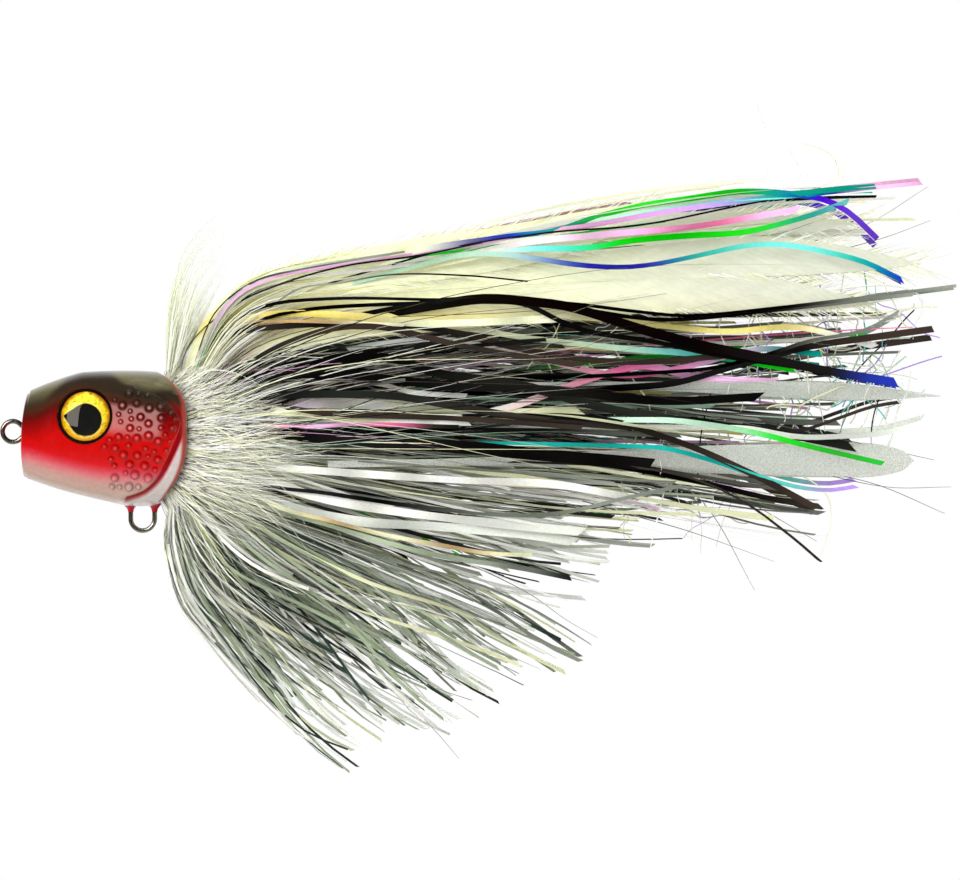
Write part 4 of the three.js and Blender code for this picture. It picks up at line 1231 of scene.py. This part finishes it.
def feathers():
    """Long saddle hackles: cupped vanes, and loose barbs along both edges and round the tip."""
    rng = np.random.default_rng(81)
    stations, across = 120, 17
    grain = rng.uniform(0, 1, 997)
    s = np.linspace(0, 1, stations)
    v = np.linspace(-1, 1, across)
    for side, word in SIDES:
        points, faces, tints, barbs = [], [], [], []
        for half, depth, spine in FEATHERS:
            x, z = spread_along(spine, stations)
            y = side * (ROOT_OUT + (depth - ROOT_OUT) * smooth(ROOT_X, 100, x)) + rng.normal(0, 0.3)
            p = np.stack([x, y, z], axis=1)
            t, up, out = vane_frame(p, side)
            w = half * smooth(-0.1, 0.2, s) * np.sqrt(np.clip(1 - smooth(0.72, 1.0, s) ** 1.6, 0.0004, 1))
            ripple = 0.18 * np.sin(22 * s[:, None] + 3 * v[None] + rng.uniform(0, 6))
            cup = (0.12 * w[:, None] * (1 - v[None] ** 2)) + ripple * w[:, None] / half
            sheet = p[:, None] + up[:, None] * (w[:, None] * v[None])[..., None]
            sheet = sheet + out[:, None] * cup[..., None]
            skin = out[:, None] * (VANE_THICK / 2)
            loop = np.concatenate([sheet - skin, (sheet + skin)[:, ::-1]], axis=1)
            first = sum(len(q) for q in points)
            points.append(loop.reshape(-1, 3))
            parts = closed_tube(stations, 2 * across)
            turned = float(np.mean(np.sum(np.cross(up, t) * out, -1))) > 0
            faces += [f + first for f in (flipped(parts) if turned else parts)]
            shade = vane_colour(x, z, w, v, s, grain)
            tints.append(np.concatenate([shade, shade[:, ::-1]], axis=1).reshape(-1, 3))
            barbs.append(vane_barbs(rng, p, t, up, out, w))
        tint = np.clip(np.concatenate(tints), 0, 1)
        made = build(f"feather_vanes_{word}", np.concatenate(points), faces, tint)
        finish_strands(made, VANE, "hackle", f"hackles_{word}")
        path = np.concatenate(barbs)
        w = np.full(path.shape[:2], 0.17) * (1.1 - np.linspace(0, 1, BARB_STATIONS))
        tint = mixed(rng, len(path), BARB_STATIONS, [(5, CREAM), (5, WHITE)])
        made = strands(f"feather_barbs_{word}", path, w, w, facing_of(rng, len(path)), 0 * w, tint, sides=3)
        finish_strands(made, HACKLE_FIBRE, "hackle")
    bundle(hairs, "cream_hairs", 84, HACKLE_FIBRE, "hackle", both_sides=True, **CROWN,
           count=190, stations=20, reach=(0.3, 1.0), wander=1.6, width=(0.2, 0.44),
           choices=[(9, CREAM), (7, WHITE), (1.4, STRAW), (0.5, DARK), (0.5, BLACK)])


def collar_hairs():
    """Bucktail tied round the lashing. The hairs turn out over the head's rear lip and fan backwards."""
    rng = np.random.default_rng(71)
    count, stations = 1500, 12
    clump_half = 48  # degrees
    t = np.linspace(0, 1, stations)[None]
    u = t[..., None]
    bends = [(1 - u) ** 3, 3 * u * (1 - u) ** 2, 3 * u**2 * (1 - u), u**3]
    for word, middle in (("top", 0), ("right", 90), ("belly", 180), ("left", 270)):
        phi = np.radians(middle + rng.uniform(-clump_half, clump_half, count))
        upness = np.cos(phi)
        rim = rim_x(np.sign(upness) * np.abs(upness) ** 0.8)
        edge = 0.86 * np.where(upness > 0, 16.8, 17.2) * (1 - 0.05 * np.abs(np.sin(phi)))
        layer = rng.uniform(0, 1, count) ** 0.7  # 0 is the innermost layer, and 1 the outermost
        lean = np.where(upness > 0, 6 + 36 * layer, 12 + 44 * layer)
        flare = np.radians(2 + 20 * layer + np.abs(upness) ** 1.6 * lean * rng.uniform(0.7, 1.1, count))
        length = (12 + 24 * rng.uniform(0, 1, count) ** 1.4) * (1.1 - 0.3 * layer)
        length = length * (1 - 0.5 * smooth(0.1, 0.9, upness))
        start = np.stack([rim - 2.5, edge * (0.45 + 0.3 * layer)], axis=1)
        lip = np.stack([rim + rng.uniform(0.2, 1.6, count), edge * (0.62 + 0.38 * layer)], axis=1)
        knee = lip + 0.5 * length[:, None] * np.stack([np.cos(flare), np.sin(flare)], axis=1)
        calm = flare * rng.uniform(0.35, 0.8, count)
        tip = knee + 0.6 * length[:, None] * np.stack([np.cos(calm), np.sin(calm)], axis=1)
        curve = sum(b * p[:, None] for b, p in zip(bends, (start, lip, knee, tip)))
        x, r = curve[..., 0], curve[..., 1]
        around = phi[:, None] + rng.normal(0, 0.2, count)[:, None] * t**2
        path = np.stack([x, r * np.sin(around), POST_Z + r * np.cos(around)], axis=-1)
        path += rng.normal(0, 0.8, (count, 1, 3)) * (t**2)[..., None]
        kink(rng, path, t, cycles=(4, 13), size=(0.05, 0.55), growth=smooth(0.15, 0.5, t))
        w = rng.uniform(0.09, 0.19, count)[:, None] * (1.05 - 0.9 * t)
        tint = 1.1 * mixed(rng, count, stations, [(12, WHITE), (6, CREAM), (2.0, BLACK)])
        # Short black specks along the hairs are painted shadow in the gaps between them.
        tint = tint * np.where(rng.uniform(0, 1, (count, stations, 1)) < 0.09, 0.05, 1.0)
        # The hairs are darkened brown near their roots: painted shade where they crowd together.
        tint = toward(tint, linear(120, 84, 48), smooth(0.26, 0.1, t) * 0.6)
        made = strands(f"bucktail_{word}", path, w, w, facing_of(rng, count), 0 * w, tint, sides=3)
        finish_strands(made, HAIR_FIBRE, "bucktail", f"hair_clump_{word}")


def guard_hairs():
    """The longest bucktail hairs, which stand away from the rest and sweep down over the black layer."""
    bundle(hairs, "guard_hairs", 74, HAIR_FIBRE, "bucktail", both_sides=True, **GUARD,
           count=90, stations=20, reach=(0.45, 1.0), wander=1.8, drift=0.3, width=(0.2, 0.36),
           choices=[(4, WHITE), (3, CREAM), (0.5, BLACK)])


def crest():
    bundle(hairs, "crest_fibres", 77, HACKLE_FIBRE, "bucktail", "crest_plume", still=True, **CREST,
           count=230, stations=14, reach=(0.45, 1.0), wander=1.3, width=(0.18, 0.5),
           choices=[(6, linear(234, 239, 210)), (3, linear(242, 244, 228))])


def blade(name, x, z, width, depth, side, node_name, blunt=False):
    """A long thin leaf of speckled film between two ends, widest near its tip. blunt makes the tip round."""
    stations = 60
    s = np.linspace(0, 1, stations)[None]
    height = z[0] + (z[1] - z[0]) * s + 1.2 * np.sin(2.4 * s)
    path = np.stack([x[0] + (x[1] - x[0]) * s, side * (depth + 0.8 * np.sin(5 * s)), height], axis=-1)
    start = 0.9 if blunt else 0.78
    near_tip = np.clip((s - start) / (1 - start), 0, 1)
    tip = np.sqrt(1 - near_tip**2) if blunt else 1 - near_tip**1.3
    leaf = np.maximum(width / 2 * (0.2 + 0.8 * smooth(0.15, 0.75, s)) * tip, 0.12)
    tint = np.zeros((1, stations, 3)) + SILVER
    facing = np.array([[[0.0, 0.15 * side, 1.0]]])
    made = strands(name, path, leaf, np.full_like(leaf, BLADE_THICK), facing, 0.5 * np.sin(3 * s), tint)
    finish_strands(made, SPECKLED_FILM, "speckled_film", node_name)


def blades():
    for side, word in SIDES:
        blade(f"speckled_blade_upper_{word}", x=(118, 243), z=(12.5, 8.4), width=5.2, depth=13, side=side,
              node_name=f"upper_blade_{word}")
        blade(f"speckled_blade_lower_{word}", x=(84, 236), z=(-8.5, -8.4), width=9.2, depth=15, side=side,
              node_name=f"lower_blade_{word}", blunt=True)


# Loose hairs that leave the bundle: width, how far out they lie, colour and (x, z) points.
STRAYS = [
    (0.34, 12, BROWN, [(150, 43), (178, 44), (200, 47.2), (223, 53.4), (240, 63.7)]),
    (0.34, 11, BROWN, [(160, 44), (187, 45.2), (209, 45.8), (227, 49.9), (240.5, 54.8)]),
    (0.3, 13, BLACK, [(150, 47), (178, 49.4), (200, 51.2), (210, 54.3), (219, 57.5)]),
    (0.36, 10, DARK, [(190, 4), (212, -0.7), (228, -4.4), (241.6, -7.4)]),
    (0.36, 9, DARK, [(180, -4), (207, -9.7), (229, -14.4), (246, -14.4)]),
    (0.34, 8, DARK, [(182, -5), (208, -9.9), (226, -13.6), (244.3, -21.3)]),
    (0.32, 12, DARK, [(160, -8), (180, -12), (191.5, -17.3), (211, -28.5)]),
    (0.3, 10, GREY, [(150, -7), (170, -11), (182, -19), (195, -41.4)]),
    (0.32, 11, DARK, [(150, -18), (164, -22), (178, -26), (200, -33.8)]),
    (0.3, 6, GREY, [(120, -34), (136, -42), (146, -49), (154, -53.6)]),
    (0.28, 5, GREY, [(90, -60), (104, -70), (112, -78), (118, -85)]),
    (0.5, 8, WHITE, [(160, 54), (176, 60), (194, 62), (199, 72), (195, 86.7)]),
    (0.5, 6, WHITE, [(180, 58), (200, 62), (206.5, 66), (206, 70), (203.6, 73.5)]),
    (0.5, 4, CREAM, [(180, 57), (205, 62), (216.5, 66), (214.8, 72), (206.6, 75.2)]),
    (0.4, 3, WHITE, [(190, 59), (205, 61.6), (208.6, 66), (208.9, 71.6)]),
    (0.4, 5, CREAM, [(190, 59), (210, 62), (217.4, 65), (218, 70)]),
    (0.4, 12, CREAM, [(190, -6), (208, -12), (214, -17), (214.8, -23.5), (212, -32.9)]),
    (0.4, 13, WHITE, [(210, 36), (228, 38), (237, 36), (238.6, 31), (233, 24)]),
    (0.36, 16, WHITE, [(48, 13), (52.5, 15.7), (59.5, 15.3), (66.5, 12), (81.7, 4.1)]),
    (0.34, 17, WHITE, [(50, -6), (62, -9), (74, -14), (84, -22), (90, -32)]),
    (0.34, 16, WHITE, [(50, -8), (60, -13), (70, -20), (78, -30), (82, -40)]),
]


def stray_hairs():
    stations = 26
    share = np.linspace(0, 1, stations)
    widths = np.array([width for width, _, _, _ in STRAYS])[:, None]
    colours = np.array([colour for _, _, colour, _ in STRAYS])[:, None]
    for side, word in SIDES:
        path = []
        for _, depth, _, points in STRAYS:
            x, z = spread_along(points, stations)
            path.append(np.stack([x, side * depth * (1 - 0.3 * share), z], axis=1))
        path = np.stack(path)
        w = widths / 2 * (1.05 - 0.85 * share[None])
        tint = np.repeat(colours, stations, axis=1)
        facing = np.tile([[[0.0, 0.3, 1.0]]], (len(path), 1, 1))
        made = strands(f"stray_hairs_{word}", path, w, w, facing, 0 * w, tint, sides=3)
        nodes = ["flash_wisp"] if side < 0 else []
        finish_strands(made, HACKLE_FIBRE, "hackle", *nodes)


def crinkled_flash():
    """Clear flash that has crinkled into curls round the ends of the tail, in three patches."""
    rng = np.random.default_rng(95)
    stations = 40
    k = np.linspace(-0.5, 0.5, stations)
    patches = [(80, (192, 236), (2, 32)), (40, (160, 192), (-24, 2)), (30, (130, 200), (10, 30))]
    for number, (count, xs, zs) in enumerate(patches, 1):
        middle = [rng.uniform(*xs, count), rng.uniform(-15, 15, count), rng.uniform(*zs, count)]
        middle = np.stack(middle, axis=1)
        angle = rng.uniform(-1.9, 1.9, count)
        way = np.stack([np.cos(angle), rng.normal(0, 0.2, count), np.sin(angle)], axis=1)
        long = rng.uniform(8, 26, count)
        path = middle[:, None] + way[:, None] * (long[:, None] * k)[..., None]
        kink(rng, path, k[None], cycles=(2, 14), size=(0.2, 1.1))
        w = np.full((count, stations), 0.18)
        choices = [(6, WHITE), (4, CREAM), (1.4, MINT), (1, AQUA), (1, LILAC), (1, BLACK)]
        tint = mixed(rng, count, stations, choices)
        made = strands(f"crinkled_flash_{number}", path, w, 0.4 * w, facing_of(rng, count), 0 * w, tint)
        finish_strands(made, PEARL_FILM, "pearl_flash")


# ---- Lashing and glue ----
def glue_blob(x, word):
    """Tinted epoxy round a leg of the hook hanger, where it leaves the belly."""
    rng = np.random.default_rng(int(x))
    rows, sides = 22, 48
    heights = np.linspace(-18.6, -20.9, rows)[:, None]
    a = np.linspace(0, FULL_TURN, sides, endpoint=False)[None]
    lumps = sum(rng.uniform(0.03, 0.1) * np.cos(k * a + rng.uniform(0, 6)) for k in (1, 2, 3, 5))
    r = WIRE_R + 0.06 + 1.05 * bell(heights, -18.7, 1.15) * (1 + 2 * lumps)
    points = np.stack([x + r * np.cos(a), r * np.sin(a), heights + 0 * a], axis=-1)
    made = build(f"epoxy_{word}", points.reshape(-1, 3), flipped(closed_tube(rows, sides)))
    made.data.materials.append(EPOXY)
    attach(made, "head")


def hair_butts():
    """The cut ends of the tied hair, laid along the tail post under the thread."""
    rng = np.random.default_rng(64)
    count, stations = 620, 6
    a = rng.uniform(0, FULL_TURN, count)[:, None]
    t = np.linspace(0, 1, stations)[None]
    x = rng.uniform(38.9, 39.9, count)[:, None] + rng.uniform(7.6, 8.6, count)[:, None] * t
    squeezed = smooth(39.4, 41.0, x) * (1 - smooth(44.0, 45.8, x))
    r = rng.uniform(3.7, 5.0, count)[:, None] + 0.5 - 0.45 * squeezed
    turn = a + rng.normal(0, 0.08, (count, 1)) * t
    path = np.stack([x, r * np.sin(turn), POST_Z + r * np.cos(turn)], axis=-1)
    w = np.full((count, stations), 0.14)
    tint = mixed(rng, count, stations, [(6, WHITE), (4, CREAM), (1, BLACK)])
    made = strands("hair_butts", path, w, w, facing_of(rng, count), 0 * w, tint, sides=3)
    finish_strands(made, HAIR_FIBRE, "bucktail", "fibre_butts", still=True)


def thread_coils():
    """Two layers of tying thread, the first wound back from the head and the second wound forward again."""
    thread_r = 0.2
    points, faces = [], []
    for layer, (x0, x1, turns) in enumerate(((40.3, 44.5, 11), (44.1, 40.7, 9))):
        s = np.linspace(0, 1, turns * 40)
        a = FULL_TURN * turns * s
        r = 5.35 + 0.36 * layer + 0.05 * np.sin(7 * a)
        x = x0 + (x1 - x0) * s + 0.05 * np.sin(3.3 * a)
        coil = np.stack([x, r * np.sin(a), POST_Z + r * np.cos(a)], axis=1)
        vertices, parts = tube(coil, thread_r, sides=8)
        first = sum(len(q) for q in points)
        points.append(vertices)
        faces += [f + first for f in parts]
    made = build("thread_coils", np.concatenate(points), faces)
    made.data.materials.append(THREAD)
    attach(made, "head")
    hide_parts("thread_wrap")


# ---- Finishes ----
PAINT = head_paint()
STEEL = wire_steel()
RESIN = clear_resin()
FOIL = iris_foil()
BLACK_FILM = film("black_film", roughness=0.3, metallic=0.0, coat=0.1, crinkle=0.2)
shader_of(BLACK_FILM).inputs["Specular IOR Level"].default_value = 0.2
VANE = fibre("feather_vane", roughness=0.6, sheen=0.2, mottle=0.95)
PEARL_FILM = film("pearl_film", roughness=0.18, metallic=0.16, coat=0.5)
SILVER_FILM = film("silver_film", roughness=0.34, metallic=0.3, coat=0.2)
SPECKLED_FILM = speckled_film()
HAIR_FIBRE = fibre("bucktail_hair", mottle=0.9)
HACKLE_FIBRE = fibre("hackle_fibre", roughness=0.45, sheen=0.2)

EPOXY = plain("red_epoxy", linear(176, 16, 40), roughness=0.15, scale=900)
THREAD = plain("waxed_thread", linear(214, 208, 190), roughness=0.6, scale=2500, depth=0.00005)
ABS = plain("black_abs", linear(28, 28, 30), roughness=0.4, scale=600, depth=0.00003)
LEAD = plain("cast_lead", linear(116, 119, 122), roughness=0.5, metallic=1.0, scale=500, depth=0.0001)
SHOT = plain("steel_shot", linear(186, 186, 184), roughness=0.22, metallic=1.0, scale=700)
KEPT = {"tail_post": ABS, "belly_ballast": LEAD, "rattle_tube": RESIN,
        "rattle_ball_1": SHOT, "rattle_ball_2": SHOT, "rattle_ball_3": SHOT}

# ---- The scene ----
camera()
studio()
floor()
left = head_shell("painted_shell_left", -1)
right = head_shell("painted_shell_right", 1)
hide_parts("head_shell_left")
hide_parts("head_shell_right")
tie = hanger("line_tie_wire", radius=2.7, opening=math.pi / 4, legs=[[2.8, 1], [15, 1], [15, 4.4]], bend=1.0,
             turn=0, place=(0, 0))
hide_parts("line_tie")
hook = hanger("hook_hanger_wire", radius=HOOK_LOOP_R, opening=math.pi / 2,
              legs=[[9.2, HOOK_LOOP_R], [9.2, 6.5]], bend=1.4, turn=math.pi / 2, place=(HOOK_X, -25.1))
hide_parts("hook_hanger")
lenses = [eye(side, word) for side, word in SIDES]
softbox("eye_window", (-0.75, -0.75, 0.28), (0.66, 0.95), 9, aim=(0.02, 0, 0), tone=(1.0, 0.92, 0.8),
        only=lenses)
softbox("wire_window", (-0.5, -0.85, 0.45), (0.7, 0.5), 7, aim=(0.02, 0, 0), only=[tie, hook])
glue_blob(HOOK_X - HOOK_LOOP_R, "front")
glue_blob(HOOK_X + HOOK_LOOP_R, "rear")
hair_butts()
thread_coils()
for kept, finish in KEPT.items():
    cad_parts[kept].material_slots[0].material = finish
black_flash()
pearl_flash()
fine_flash()
silver_flash()
belly_skirt()
feathers()
collar_hairs()
guard_hairs()
crest()
blades()
stray_hairs()
crinkled_flash()
